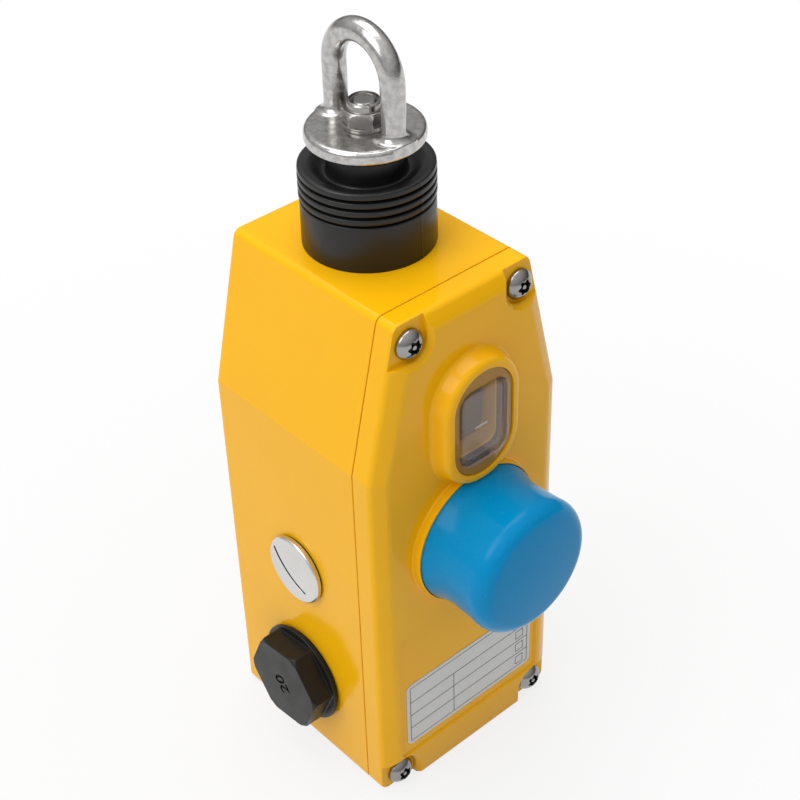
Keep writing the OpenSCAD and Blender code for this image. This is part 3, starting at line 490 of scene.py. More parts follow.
def place(mesh: bpy.types.Mesh, name: str, *materials: bpy.types.Material,
          sharp: float = 32.0) -> bpy.types.Object:
    """Puts a finished mesh into the scene with its finish.

    Args:
        mesh: The mesh, with its place in its vertices.
        name: The piece's name.
        *materials: Its finishes, in the order of the faces' material numbers.
        sharp: Angle in degrees above which an edge is drawn sharp.

    Returns:
        The new object.
    """
    piece = link_object(mesh, name)
    numbers = [face.material_index for face in mesh.polygons]
    if "custom_normal" in mesh.attributes:
        mesh.attributes.remove(mesh.attributes["custom_normal"])
    mesh.materials.clear()
    for material in materials:
        mesh.materials.append(material)
    for face, number in zip(mesh.polygons, numbers):
        face.use_smooth = True
        face.material_index = min(number, len(materials) - 1)
    mesh.set_sharp_from_angle(angle=math.radians(sharp))
    return piece


def hand_over(piece: bpy.types.Object, body: Body, slot: str, *nodes: str) -> bpy.types.Object:
    """Gives a piece to the frame: its body and the CAD nodes that it stands for.

    Args:
        piece: The finished piece.
        body: The body that it moves with.
        slot: Not used.
        *nodes: CAD nodes that it replaces.

    Returns:
        The same piece.
    """
    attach(piece, body.value)
    if nodes:
        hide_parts(*nodes)
    LOG.info("%s rides on %s", piece.name, body.value)
    return piece


def hand_over_blend(piece: bpy.types.Object, body: Body, start: Triple, end: Triple, slot: str,
                    *nodes: str) -> bpy.types.Object:
    """Puts in place a piece that spans the case and a moving body, and hides the CAD nodes that it stands
    for.

    Args:
        piece: The finished piece.
        body: The moving body at its far end.
        start: Not used.
        end: Not used.
        slot: Not used.
        *nodes: CAD nodes that it replaces.

    Returns:
        The same piece.
    """
    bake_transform(piece)
    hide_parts(*nodes)
    LOG.info("%s stretches from the case to %s", piece.name, body.value)
    return piece


def baked(piece: bpy.types.Object) -> bpy.types.Mesh:
    """Applies a piece's modifiers and removes the piece.

    Args:
        piece: An object with live modifiers.

    Returns:
        The evaluated mesh.
    """
    graph = bpy.context.evaluated_depsgraph_get()
    mesh = bpy.data.meshes.new_from_object(piece.evaluated_get(graph), depsgraph=graph)
    old = piece.data
    bpy.data.objects.remove(piece)
    if old.users == 0:
        bpy.data.batch_remove((old,))
    return mesh


def written(shape: bmesh.types.BMesh, name: str) -> bpy.types.Mesh:
    """Writes a shape to a new mesh.

    Args:
        shape: The shape, which is freed.
        name: The mesh's name.

    Returns:
        The mesh.
    """
    mesh = bpy.data.meshes.new(name)
    shape.to_mesh(mesh)
    shape.free()
    return mesh


def from_bmesh(shape: bmesh.types.BMesh, name: str) -> bpy.types.Mesh:
    """Closes a shape's seams, turns its faces outwards and writes it to a new mesh.

    Args:
        shape: The shape, which is freed.
        name: The mesh's name.

    Returns:
        The mesh.
    """
    bmesh.ops.remove_doubles(shape, verts=shape.verts, dist=JOIN_WITHIN)
    bmesh.ops.recalc_face_normals(shape, faces=shape.faces)
    return written(shape, name)


def merged_copy(source: bpy.types.Mesh) -> bmesh.types.BMesh:
    """Copies a mesh and joins the points that its faces share.

    Args:
        source: The mesh, which is left as it is.

    Returns:
        The joined shape.
    """
    shape = bmesh.new()
    shape.from_mesh(source)
    bmesh.ops.remove_doubles(shape, verts=shape.verts, dist=JOIN_CAD_WITHIN)
    return shape


def shared_part(shape: bmesh.types.BMesh, within: bpy.types.Mesh) -> bmesh.types.BMesh:
    """Cuts a shape down to the part of it that lies within a solid.

    Args:
        shape: The shape, which is freed.
        within: The solid, which is removed.

    Returns:
        The part that is left.
    """
    whole = link_object(written(shape, "whole"), "whole")
    cutter = link_object(within, "cutter")
    cut = whole.modifiers.new("cut", "BOOLEAN")
    cut.operation = "INTERSECT"
    cut.solver = "EXACT"
    cut.object = cutter
    left = baked(whole)
    bpy.data.objects.remove(cutter)
    result = merged_copy(left)
    bpy.data.meshes.remove(left)
    return result


def weighted(mesh: bpy.types.Mesh, name: str, *materials: bpy.types.Material,
             sharp: float = 50.0) -> bpy.types.Object:
    """Places a mesh with shading normals that follow its larger faces.

    Args:
        mesh: The mesh.
        name: The piece's name.
        *materials: Its finishes.
        sharp: Angle in degrees above which an edge is drawn sharp.

    Returns:
        The finished piece.
    """
    rough = place(mesh, name + "_rough", *materials, sharp=sharp)
    modifier = rough.modifiers.new("weights", "WEIGHTED_NORMAL")
    modifier.keep_sharp = True
    final = baked(rough)
    final.name = name
    return link_object(final, name)


def softened(node: str, name: str, material: bpy.types.Material, rule: Rule,
             within: bpy.types.Mesh | None = None) -> bpy.types.Object:
    """Copies a CAD node and rounds its edges, each by its own width.

    Args:
        node: The CAD node to copy.
        name: The new piece's name.
        material: Its finish.
        rule: Gives an edge's rounding from its two ends and its turn in degrees, below 0 in a hollow.
        within: A solid that the copy is first cut down to.

    Returns:
        The softened piece.
    """
    shape = merged_copy(frame["nodes"][node].data)
    if within is not None:
        shape = shared_part(shape, within)
    bmesh.ops.dissolve_limit(shape, angle_limit=math.radians(FLAT_WITHIN), verts=shape.verts,
                             edges=shape.edges)
    layer = shape.edges.layers.float.new("bevel_weight_edge")
    for edge in shape.edges:
        if len(edge.link_faces) == 2:
            first, second = (vert.co for vert in edge.verts)
            width = rule(first, second, math.degrees(edge.calc_face_angle_signed(0.0)))
            edge[layer] = min(max(width, 0.0) / WIDEST_ROUNDING, 1.0)
    rough = link_object(written(shape, name), name + "_plain")
    bevel = rough.modifiers.new("round", "BEVEL")
    bevel.limit_method = "WEIGHT"
    bevel.width = WIDEST_ROUNDING
    bevel.segments = ROUNDING_FACES
    bevel.use_clamp_overlap = False
    bevel.miter_outer = "MITER_SHARP"
    return weighted(baked(rough), name, material)


def even_edges(width: float, angle: float = 30.0) -> Rule:
    """Makes a rule that rounds every edge sharper than an angle by one width."""
    return lambda first, second, turn: width if abs(turn) > angle else 0.0


def remeshed(node: str, name: str, material: bpy.types.Material, voxel: float,
             smooth: int) -> bpy.types.Object:
    """Copies a CAD node and melts its edges together, as on a forging.

    Args:
        node: The CAD node to copy.
        name: The new piece's name.
        material: Its finish.
        voxel: Size of the cells that the copy is made of.
        smooth: How often it is smoothed.

    Returns:
        The finished piece.
    """
    shape = merged_copy(frame["nodes"][node].data)
    rough = link_object(written(shape, name), name + "_plain")
    cells = rough.modifiers.new("cells", "REMESH")
    cells.mode = "VOXEL"
    cells.voxel_size = voxel
    relax = rough.modifiers.new("relax", "SMOOTH")
    relax.factor = RELAX
    relax.iterations = smooth
    return place(baked(rough), name, material, sharp=MELTED_SHARP)


def skinned(rings: Sequence[Sequence[Triple | Vector]], closed: bool, inner: Sequence[int],
            name: str) -> bpy.types.Mesh:
    """Joins rings of points into a solid.

    Args:
        rings: The points of each ring, as many in every one.
        closed: Whether the last ring is joined to the first. Otherwise both ends are closed by a face.
        inner: Numbers of the bands between rings that take the second material.
        name: The mesh's name.

    Returns:
        The closed mesh.
    """
    shape = bmesh.new()
    rows = [[shape.verts.new(point) for point in ring] for ring in rings]
    count = len(rows[0])
    for number, (near, far) in enumerate(zip(rows, rows[1:] + rows[:1] if closed else rows[1:])):
        for k in range(count):
            after = (k + 1) % count
            face = shape.faces.new((near[k], near[after], far[after], far[k]))
            face.material_index = 1 if number in inner else 0
    if not closed:
        shape.faces.new(rows[0])
        shape.faces.new(rows[-1][::-1])
    return from_bmesh(shape, name)


@dataclass(frozen=True)
class Lathe:
    """Turns rings about an axis of the switch.

    Attributes:
        axis: The axis. Heights run up for PULL and to the front for BUTTON.
        centre: A point on the axis, where the height is 0.
    """

    axis: Axis
    centre: Triple

    def point(self, angle: float, radius: float, height: float) -> Vector:
        """The place of a point from its angle in radians, its radius and its height."""
        across, along = radius * math.cos(angle), radius * math.sin(angle)
        offset = (across, along, height) if self.axis is Axis.PULL else (across, -height, along)
        return Vector(self.centre) + Vector(offset)

    def loft(self, rings: Sequence[Ring], angles: Sequence[float], closed: bool = True,
             inner: Sequence[int] = ()) -> bpy.types.Mesh:
        """Joins rings that may differ from a circle.

        Args:
            rings: Each gives a radius and a height from an angle in radians.
            angles: The angles of the points round each ring.
            closed: Whether the last ring is joined to the first. Otherwise both ends are closed by a face.
            inner: Numbers of the bands between rings that take the second material.

        Returns:
            The closed mesh.
        """
        rows = [[self.point(a, *ring(a)) for a in angles] for ring in rings]
        return skinned(rows, closed, inner, "lofted")

    def turn(self, profile: Sequence[Point], steps: int) -> bpy.types.Mesh:
        """Turns a closed profile of radius and height pairs into a solid."""
        return self.loft(plain_rings(profile), even_angles(steps))


def plain_rings(profile: Sequence[Point]) -> list[Ring]:
    """Gives the round ring of each radius and height pair."""
    return [lambda angle, pair=pair: pair for pair in profile]


def even_angles(steps: int) -> list[float]:
    """Equal angles round a circle, in radians."""
    return [2 * math.pi * k / steps for k in range(steps)]


def bend(centre: Point, radius: float, start: float, end: float, steps: int) -> list[Point]:
    """Points along an arc.

    Args:
        centre: The arc's centre in the profile.
        radius: Its radius.
        start: First angle in degrees.
        end: Last angle in degrees.
        steps: Number of straight steps.

    Returns:
        The points, first and last included.
    """
    angles = [math.radians(start + (end - start) * k / steps) for k in range(steps + 1)]
    return [(centre[0] + radius * math.cos(a), centre[1] + radius * math.sin(a)) for a in angles]


def smooth_profile(corners: Sequence[Triple], steps: int = 5) -> list[Point]:
    """Rounds the corners of a closed profile.

    Args:
        corners: Radius, height and rounding of each corner, 0 to keep it sharp.
        steps: Straight steps in each rounding.

    Returns:
        The rounded profile.
    """
    result: list[Point] = []
    count = len(corners)
    for k, (across, along, radius) in enumerate(corners):
        here = Vector((across, along))
        before = Vector(corners[k - 1][:2]) - here
        after = Vector(corners[(k + 1) % count][:2]) - here
        if radius <= 0.0:
            result.append((across, along))
            continue
        half = before.angle(after) / 2
        reach = min(radius / math.tan(half), before.length * CORNER_SHARE, after.length * CORNER_SHARE)
        true_radius = reach * math.tan(half)
        start = here + before.normalized() * reach
        end = here + after.normalized() * reach
        inwards = (before.normalized() + after.normalized()).normalized()
        centre = here + inwards * (true_radius / math.sin(half))
        for step in range(steps + 1):
            spoke = (start - centre).lerp(end - centre, step / steps).normalized() * true_radius
            result.append((centre.x + spoke.x, centre.y + spoke.y))
    return result


def rounded_outline(half_x: float, half_z: float, radius: float, steps: int = 10) -> list[Point]:
    """Points round a rectangle with rounded corners that is centred on 0, 0.

    Args:
        half_x: Half its width.
        half_z: Half its height.
        radius: Radius of its corners.
        steps: Straight steps in each corner.

    Returns:
        The points, as many for every outline of the same steps.
    """
    result: list[Point] = []
    for side, rise, start in ((1, 1, 0), (-1, 1, 90), (-1, -1, 180), (1, -1, 270)):
        result += bend((side * (half_x - radius), rise * (half_z - radius)), radius, start, start + 90, steps)
    return result


def stacked(rings: Sequence[tuple[Sequence[Point], float]], centre: Point,
            inner: Sequence[int] = ()) -> bpy.types.Mesh:
    """Joins outlines that face the front, each at its own depth, and closes both ends by a face.

    Args:
        rings: Outline and Y of each ring, in order over the surface.
        centre: X and Z of the outlines' centre.
        inner: Numbers of the bands between rings that take the second material.

    Returns:
        The closed mesh.
    """
    rows = [[(centre[0] + x, y, centre[1] + z) for x, z in outline] for outline, y in rings]
    return skinned(rows, False, inner, "stacked")


def bars(boxes: Iterable[tuple[Triple, Triple]]) -> bpy.types.Mesh:
    """Makes one mesh of separate boxes.

    Args:
        boxes: Lowest and highest corner of each box.

    Returns:
        The mesh.
    """
    shape = bmesh.new()
    for low, high in boxes:
        size = Vector(high) - Vector(low)
        matrix = Matrix.Translation((Vector(low) + Vector(high)) / 2) @ Matrix.Diagonal((*size, 1.0))
        bmesh.ops.create_cube(shape, size=1.0, matrix=matrix)
    return from_bmesh(shape, "bars")


class Growth(Wiring):
    """A Geometry Nodes tree under construction, with named inputs."""

    def __init__(self, name: str) -> None:
        """Starts a tree that takes and gives a geometry.

        Args:
            name: The tree's name.
        """
        super().__init__(bpy.data.node_groups.new(name, "GeometryNodeTree"))
        self.tree.interface.new_socket("Geometry", in_out="INPUT", socket_type="NodeSocketGeometry")
        self.tree.interface.new_socket("Geometry", in_out="OUTPUT", socket_type="NodeSocketGeometry")
        self.entry = self.add("NodeGroupInput")
        self.exit = self.add("NodeGroupOutput")

    def size(self, name: str, kind: str = "NodeSocketFloat") -> Socket:
        """Adds a named input and returns its socket inside the tree."""
        self.tree.interface.new_socket(name, in_out="INPUT", socket_type=kind)
        return self.entry.outputs[name]

    def finish(self, source: Socket) -> "Growth":
        """Realizes the instances, sets the material and joins the tree's exit.

        Args:
            source: The geometry to finish.

        Returns:
            The tree, ready to use.
        """
        material = self.size("Material", "NodeSocketMaterial")
        real = self.add("GeometryNodeRealizeInstances", Geometry=source)
        painted = self.add("GeometryNodeSetMaterial", Geometry=real.outputs[0], Material=material)
        self.link(painted.outputs[0], self.exit.inputs[0])
        return self

    def grow(self, seed: bpy.types.Mesh, **values: float | int | bpy.types.ID) -> bpy.types.Mesh:
        """Runs the tree on a mesh.

        Args:
            seed: The mesh that the tree starts from.
            **values: Value by input name, with underscores for spaces.

        Returns:
            The plain mesh that it makes.
        """
        carrier = link_object(seed, self.tree.name + "_carrier")
        modifier = carrier.modifiers.new("grow", "NODES")
        modifier.node_group = self.tree
        items = self.tree.interface.items_tree
        keys = {item.name: item.identifier for item in items if item.in_out == "INPUT"}
        for name, value in values.items():
            modifier[keys[name.replace("_", " ")]] = value
        return baked(carrier)


# ---- Sub-assemblies ------------------------------------------------------------------------------


@dataclass
class CastCase:
    """The housing and its lid, with the soft edges of painted castings."""

    half_width: float = 31.0 * MM
    top_half: float = 21.4 * MM
    kink: float = 108.7 * MM
    top: float = 149.5 * MM
    back: float = 25.5 * MM
    seam: float = -26.5 * MM
    lid_back: float = -26.7 * MM
    table: float = -34.9 * MM
    bevel_foot: float = -32.6 * MM
    bevel_angle: float = 28.4
    edge_round: float = 1.15 * MM
    edge_steps: int = 6
    foot_inset: float = 0.25 * MM
    corners: Triple = (2.5 * MM, 1.5 * MM, 2.25 * MM)
    near: float = 0.12 * MM
    end_band: float = 0.3 * MM
    slight: float = 30.0
    steep: float = 50.0
    seal_half: float = 20.6 * MM
    lid_back_round: float = 0.3 * MM
    boss_round: float = 0.12 * MM
    window_round: float = 0.15 * MM
    seam_round: float = 0.22 * MM
    top_round: float = 0.8 * MM
    boot_round: float = 0.15 * MM
    foot_round: float = 0.3 * MM
    pocket_round: float = 0.28 * MM
    pocket_turn: float = 35.0
    pocket_floor: float = -32.3 * MM
    pocket_reach: float = 7.2 * MM
    pockets: tuple[Point, ...] = ((17.4 * MM, 143.4 * MM), (24.75 * MM, 4.5 * MM))
    screw_r: float = 3.0 * MM
    panel_half: float = 25.4 * MM
    panel_ends: Point = (9.8 * MM, 56.5 * MM)
    panel_gap: float = 0.7 * MM
    proud: float = 0.8 * MM
    window: Triple = (14.6 * MM, 23.0 * MM, 115.2 * MM)
    button_z: float = 78.8 * MM
    boss_reach: float = 22.0 * MM
    boot_reach: float = 17.5 * MM
    housing_turn: float = 40.0
    back_band: float = 0.7 * MM

    def outline(self, side: float, base: float) -> list[Point]:
        """The lid's outline, moved inwards.

        Args:
            side: How far its sides and its top move in.
            base: How far its foot moves in.

        Returns:
            X and Z of its points.
        """
        wide = self.half_width
        points = [Vector((wide, 0.0)), Vector((wide, self.kink)), Vector((self.top_half, self.top))]
        points += [Vector((-p.x, p.y)) for p in reversed(points)]
        moves = (side, side, side, side, side, base)
        lines = []
        for here, after, move in zip(points, points[1:] + points[:1], moves):
            along = (after - here).normalized()
            lines.append((here + Vector((-along.y, along.x)) * move, along))
        corners = []
        radii = self.corners + self.corners[::-1]
        for k, radius in enumerate(radii):
            (first, along), (second, ahead) = lines[k - 1], lines[k]
            corner = first + along * ((second - first).cross(ahead) / along.cross(ahead))
            corners.append((corner.x, corner.y, radius))
        return smooth_profile(corners, 8)

    def envelope(self) -> bpy.types.Mesh:
        """Makes the solid that rounds the lid's outer edge where it cuts it.

        Returns:
            The mesh.
        """
        turn = math.radians(90.0 - self.bevel_angle)
        radius = self.edge_round / math.tan(turn / 2)
        arc = []
        for k in range(self.edge_steps + 1):
            angle = turn * k / self.edge_steps
            arc.append(Vector((radius * (1 - math.cos(angle)),
                               self.bevel_foot + self.edge_round - radius * math.sin(angle))))
        first = arc[0] + (arc[0] - arc[1]) * 2
        last = arc[-1] + (arc[-1] - arc[-2]).normalized() * 2 * MM
        rings = [(first.x, self.back)]
        rings += [(point.x, point.y) for point in [first] + arc[1:-1] + [last]]
        rings.append((last.x, 2 * self.table))
        outlines = [(self.outline(side, min(side, self.foot_inset)), y) for side, y in rings]
        return stacked(outlines, (0.0, 0.0))

    def at_level(self, level: float, *points: Vector) -> bool:
        """Whether all the points lie at one depth."""
        return all(abs(point.y - level) < self.near for point in points)

    def at_end(self, point: Vector) -> bool:
        """Whether a point lies at the case's foot or at its top."""
        return point.z < self.end_band or point.z > self.top - self.end_band

    def pocket_edge(self, middle: Vector, turn: float) -> float | None:
        """The rounding of an edge beside one of the screws.

        Args:
            middle: The edge's middle.
            turn: The turn across it in degrees, below 0 in a hollow.

        Returns:
            The width of its rounding in metres, or None for an edge elsewhere.
        """
        for x, z in self.pockets:
            past = middle.z - z if z > self.top / 2 else z - middle.z
            if abs(middle.x) - x > -self.pocket_reach and past > -self.pocket_reach:
                at_screw = math.hypot(abs(middle.x) - x, past) < self.screw_r
                meets_panel = z < self.panel_ends[0] < middle.z + self.panel_gap
                if at_screw or meets_panel or abs(turn) < self.pocket_turn:
                    return 0.0
                if middle.y < self.pocket_floor - self.near:
                    return self.pocket_round
                return self.pocket_round if turn < 0.0 and middle.y < self.pocket_floor + self.near else 0.0
        return None

    def lid_rule(self, first: Vector, second: Vector, turn: float) -> float:
        """The rounding of an edge of the lid.

        Args:
            first: One end of the edge.
            second: Its other end.
            turn: The turn across it in degrees, below 0 in a hollow.

        Returns:
            The width of its rounding in metres.
        """
        middle = (first + second) / 2
        if abs(turn) < self.slight:
            return 0.0
        if self.at_level(self.lid_back, first, second):
            outer = abs(middle.x) > self.seal_half or self.at_end(middle)
            return self.lid_back_round if outer else 0.0
        in_panel = abs(middle.x) < self.panel_half and self.panel_ends[0] < middle.z < self.panel_ends[1]
        if in_panel and abs(turn) > self.steep:
            return 0.0
        beside = self.pocket_edge(middle, turn)
        if beside is not None:
            return beside
        if math.hypot(middle.x, middle.z - self.button_z) < self.boss_reach:
            return self.boss_round if turn > self.steep and middle.y < self.table + self.proud else 0.0
        if abs(middle.x) < self.window[0] and abs(middle.z - self.window[2]) < self.window[1]:
            return self.window_round if turn > self.steep and middle.y < self.table else 0.0
        return 0.0

    def housing_rule(self, first: Vector, second: Vector, turn: float) -> float:
        """The rounding of an edge of the housing.

        Args:
            first: One end of the edge.
            second: Its other end.
            turn: The turn across it in degrees, below 0 in a hollow.

        Returns:
            The width of its rounding in metres.
        """
        middle = (first + second) / 2
        if turn < self.housing_turn:
            return 0.0
        if self.at_level(self.seam, first, second):
            return self.seam_round
        if middle.z > self.top - self.end_band:
            outer = math.hypot(middle.x, middle.y) > self.boot_reach
            return self.top_round if outer else self.boot_round
        if self.at_end(middle) or middle.y > self.back - self.back_band:
            return self.foot_round
        return 0.0

    def build(self, finish: Finishes) -> None:
        """Makes the case's two castings.

        Args:
            finish: The finishes to dress them in.
        """
        housing = softened("housing", "cast_housing", finish.yellow, self.housing_rule)
        hand_over(housing, Body.CASE, "yellow_paint", "housing")
        lid = softened("lid", "cast_lid", finish.yellow, self.lid_rule, within=self.envelope())
        hand_over(lid, Body.CASE, "yellow_paint", "lid")


@dataclass
class LidScrews:
    """Four pan-head screws with a six-lobed recess round a centre pin."""

    places: tuple[Point, ...] = ((17.4 * MM, 143.4 * MM), (-17.4 * MM, 143.4 * MM),
                                 (24.75 * MM, 4.5 * MM), (-24.75 * MM, 4.5 * MM))
    head_r: float = 3.9 * MM
    head_h: float = 3.4 * MM
    side_h: float = 1.2 * MM
    shank_r: float = 1.97 * MM
    shank_l: float = 14.0 * MM
    lobe_r: float = 1.78 * MM
    lobe_swing: float = 0.26 * MM
    recess_floor: float = 1.75 * MM
    pin_r: float = 0.6 * MM
    pin_top: float = 2.9 * MM
    pin_soft: float = 0.1 * MM
    head_soft: float = 0.2 * MM
    tip: float = 0.5 * MM
    dome_at: tuple[float, ...] = (3.86 * MM, 3.75 * MM, 3.5 * MM, 3.2 * MM, 2.9 * MM, 2.6 * MM, 2.35 * MM)
    lip: tuple[Point, ...] = ((0.14 * MM, 0.0), (0.05 * MM, 0.02 * MM), (0.0, 0.1 * MM))
    seed: int = 4
    steps: int = 96
    sharp: float = 38.0

    def dome(self, radius: float) -> float:
        """Gives the height of the head's dome.

        Args:
            radius: The distance from the screw's axis.

        Returns:
            The height over the seat.
        """
        rise = self.head_h - self.side_h
        sphere = (self.head_r ** 2 + rise ** 2) / (2 * rise)
        return self.head_h - sphere + math.sqrt(sphere ** 2 - radius ** 2)

    def lobes(self, angle: float, grow: float = 0.0) -> float:
        """Radius of the recess at an angle, made larger by some width."""
        return self.lobe_r + self.lobe_swing * math.cos(6 * angle) + grow

    def screw(self) -> bpy.types.Mesh:
        """Makes one screw, with its seat at the origin and its head to the front.

        Returns:
            The mesh, with a number on each face that is 1 in the recess, where the painted shade goes.
        """
        soft = self.head_soft
        plain: list[Point] = [
            (self.shank_r - self.tip, -self.shank_l), (self.shank_r, -self.shank_l + self.tip),
            (self.shank_r, 0.0), (self.head_r - soft, 0.0), (self.head_r, soft),
            (self.head_r, self.side_h - soft),
        ]
        plain += [(radius, self.dome(radius)) for radius in self.dome_at]
        rings = plain_rings(plain)
        for grow, drop in self.lip:
            rings.append(lambda a, g=grow, d=drop: (self.lobes(a, g), self.dome(self.lobes(a, g)) - d))
        first_inner = len(rings) - 1
        rings.append(lambda a: (self.lobes(a), self.recess_floor))
        rings += plain_rings([(self.pin_r, self.recess_floor), (self.pin_r, self.pin_top - self.pin_soft),
                              (self.pin_r - self.pin_soft, self.pin_top)])
        lathe = Lathe(Axis.BUTTON, (0.0, 0.0, 0.0))
        # The recess walls and floor take number 1, which gets the painted shade; the centre pin keeps the
        # bright steel.
        mesh = lathe.loft(rings, even_angles(self.steps), closed=False, inner=(first_inner, first_inner + 1))
        mark = mesh.attributes.new("recess", "INT", "FACE")
        for face, item in zip(mesh.polygons, mark.data):
            item.value = face.material_index
        return mesh

    def row_tree(self) -> Growth:
        """Builds the tree that sets a screw on each point and turns it at random.

        Returns:
            The tree.
        """
        tree = Growth("screw_row")
        screw = tree.size("Screw", "NodeSocketObject")
        info = tree.add("GeometryNodeObjectInfo", Object=screw)
        points = tree.add("GeometryNodeMeshToPoints", Mesh=tree.entry.outputs["Geometry"])
        turn = tree.add("FunctionNodeRandomValue")
        turn.data_type = "FLOAT_VECTOR"
        turn.inputs["Max"].default_value = (0.0, math.pi / 3, 0.0)
        tree.link(tree.size("Seed", "NodeSocketInt"), turn.inputs["Seed"])
        row = tree.add("GeometryNodeInstanceOnPoints", Points=points.outputs[0],
                       Instance=info.outputs["Geometry"], Rotation=turn.outputs[0])
        return tree.finish(row.outputs[0])

    def build(self, finish: Finishes) -> None:
        """Makes the row of screws.

        Args:
            finish: The finishes to dress them in.
        """
        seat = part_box("lid_screws")[0][1] + self.head_h
        points = bpy.data.meshes.new("screw_places")
        points.from_pydata([(x, seat, z) for x, z in self.places], [], [])
        pattern = link_object(self.screw(), "screw_pattern")
        mesh = self.row_tree().grow(points, Screw=pattern, Seed=self.seed, Material=finish.bright)
        bpy.data.objects.remove(pattern)
        mark = mesh.attributes["recess"]
        for face, item in zip(mesh.polygons, mark.data):
            face.material_index = item.value
        mesh.attributes.remove(mark)
        # The recess faces take the painted shade: a near-black steel in place of the shade inside each
        # recess.
        screws = place(mesh, "lid_screw_row", finish.bright, finish.recess, sharp=self.sharp)
        hand_over(screws, Body.CASE, "stainless", "lid_screws")


@dataclass
class Window:
    """The clear lens with its raised pad, its dark locating pins and what is seen behind it."""

    half: Point = (9.6 * MM, 15.15 * MM)
    pad: Point = (7.8 * MM, 10.9 * MM)
    pad_corner: float = 4.0 * MM
    front: float = -39.1 * MM
    back: float = -36.5 * MM
    pad_front: float = -40.5 * MM
    skin: float = 1.2 * MM
    soft: float = 0.15 * MM
    hollow: Point = (2.9 * MM, 1.5 * MM)
    pad_edge: tuple[Point, ...] = ((0.0, 3.4), (-0.9, 1.9), (-3.0, 0.7), (-7.0, 0.0))
    smallest: float = 0.3 * MM
    corner_steps: int = 12
    sharp: float = 40.0
    pin_r: float = 0.85 * MM
    pin_z: float = 13.3 * MM
    pin_ends: Point = (-0.9 * MM, 0.25 * MM)
    pin_soft: float = 0.2 * MM
    pin_steps: int = 32
    flag_x: float = 0.7 * MM
    flag_half: float = 3.4 * MM
    flag_corner: float = 0.6 * MM
    flag_soft: float = 0.2 * MM
    mark_shift: float = 1.2 * MM
    mark_drop: float = 1.5 * MM

    def outline(self, size: Point, radius: float, grow: float = 0.0) -> list[Point]:
        """An outline of the lens, made larger or smaller all round."""
        corner = max(radius + grow, self.smallest)
        return rounded_outline(size[0] + grow, size[1] + grow, corner, self.corner_steps)

    def lens(self, centre: Point) -> bpy.types.Mesh:
        """Makes the lens as a moulding of even thickness.

        Args:
            centre: X and Z of the window's centre.

        Returns:
            The mesh.
        """
        rim = partial(self.outline, self.half, self.half[0])
        pad = partial(self.outline, self.pad, self.pad_corner)
        soft = self.soft
        inside = self.pad_front + self.skin
        rings = [
            (pad(-self.hollow[0]), inside), (pad(-self.hollow[1]), inside + soft),
            (pad(-self.skin), self.pad_front + 2 * self.skin), (pad(-self.skin + soft), self.back),
            (rim(-soft), self.back), (rim(), self.back - soft), (rim(), self.front + soft),
            (rim(-soft), self.front), (pad(2 * soft), self.front), (pad(soft / 2), self.front - soft / 2),
            (pad(), self.front - 2 * soft),
        ]
        rings += [(pad(inwards * soft), self.pad_front + back * soft) for inwards, back in self.pad_edge]
        return stacked(rings, centre, inner=range(3, 9))

    def pins(self, centre: Point) -> bpy.types.Mesh:
        """Makes the ends of the two locating pins.

        Args:
            centre: X and Z of the window's centre.

        Returns:
            The mesh.
        """
        shape = bmesh.new()
        for side in (-1, 1):
            lathe = Lathe(Axis.BUTTON, (centre[0], self.back, centre[1] + side * self.pin_z))
            low, high = self.pin_ends
            corners = [(0.0, low, 0.0), (self.pin_r, low, 0.0), (self.pin_r, high, self.pin_soft),
                       (0.0, high, 0.0)]
            shape.from_mesh(lathe.turn(smooth_profile(corners), self.pin_steps))
        return from_bmesh(shape, "pins")

    def build(self, finish: Finishes) -> None:
        """Makes the window's pieces.

        Args:
            finish: The finishes to dress them in.
        """
        low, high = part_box("window_lens")
        centre = (0.0, (low[2] + high[2]) / 2)
        lens = place(self.lens(centre), "clear_lens", finish.clear, finish.amber, sharp=self.sharp)
        hand_over(lens, Body.CASE, "clear_lens", "window_lens")
        pins = place(self.pins(centre), "lens_pins", finish.pin)
        hand_over(pins, Body.CASE, "clear_lens")
        self.indicator(finish)

    def indicator(self, finish: Finishes) -> None:
        """Makes the plate and its line, which rise behind the lens when the rope is pulled.

        Args:
            finish: The finishes to dress them in.
        """
        low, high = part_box("indicator_flag")
        centre = (self.flag_x, (low[2] + high[2]) / 2)
        soft = self.flag_soft
        size = (self.flag_half, (high[2] - low[2]) / 2)
        outline = rounded_outline(size[0], size[1], self.flag_corner)
        inner = rounded_outline(size[0] - soft, size[1] - soft, self.flag_corner - soft)
        mesh = stacked([(outline, high[1]), (outline, low[1] + soft), (inner, low[1])], centre)
        hand_over(place(mesh, "indicator_plate", finish.slate), Body.PULL, "dark_plastic", "indicator_flag")
        low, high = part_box("indicator_mark")
        half = (high[0] - low[0]) / 2
        middle = self.flag_x + self.mark_shift
        line = bars([((middle - half, low[1], low[2] - self.mark_drop),
                      (middle + half, high[1], high[2] - self.mark_drop))])
        hand_over(place(line, "indicator_line", finish.white), Body.PULL, "white_mark", "indicator_mark")


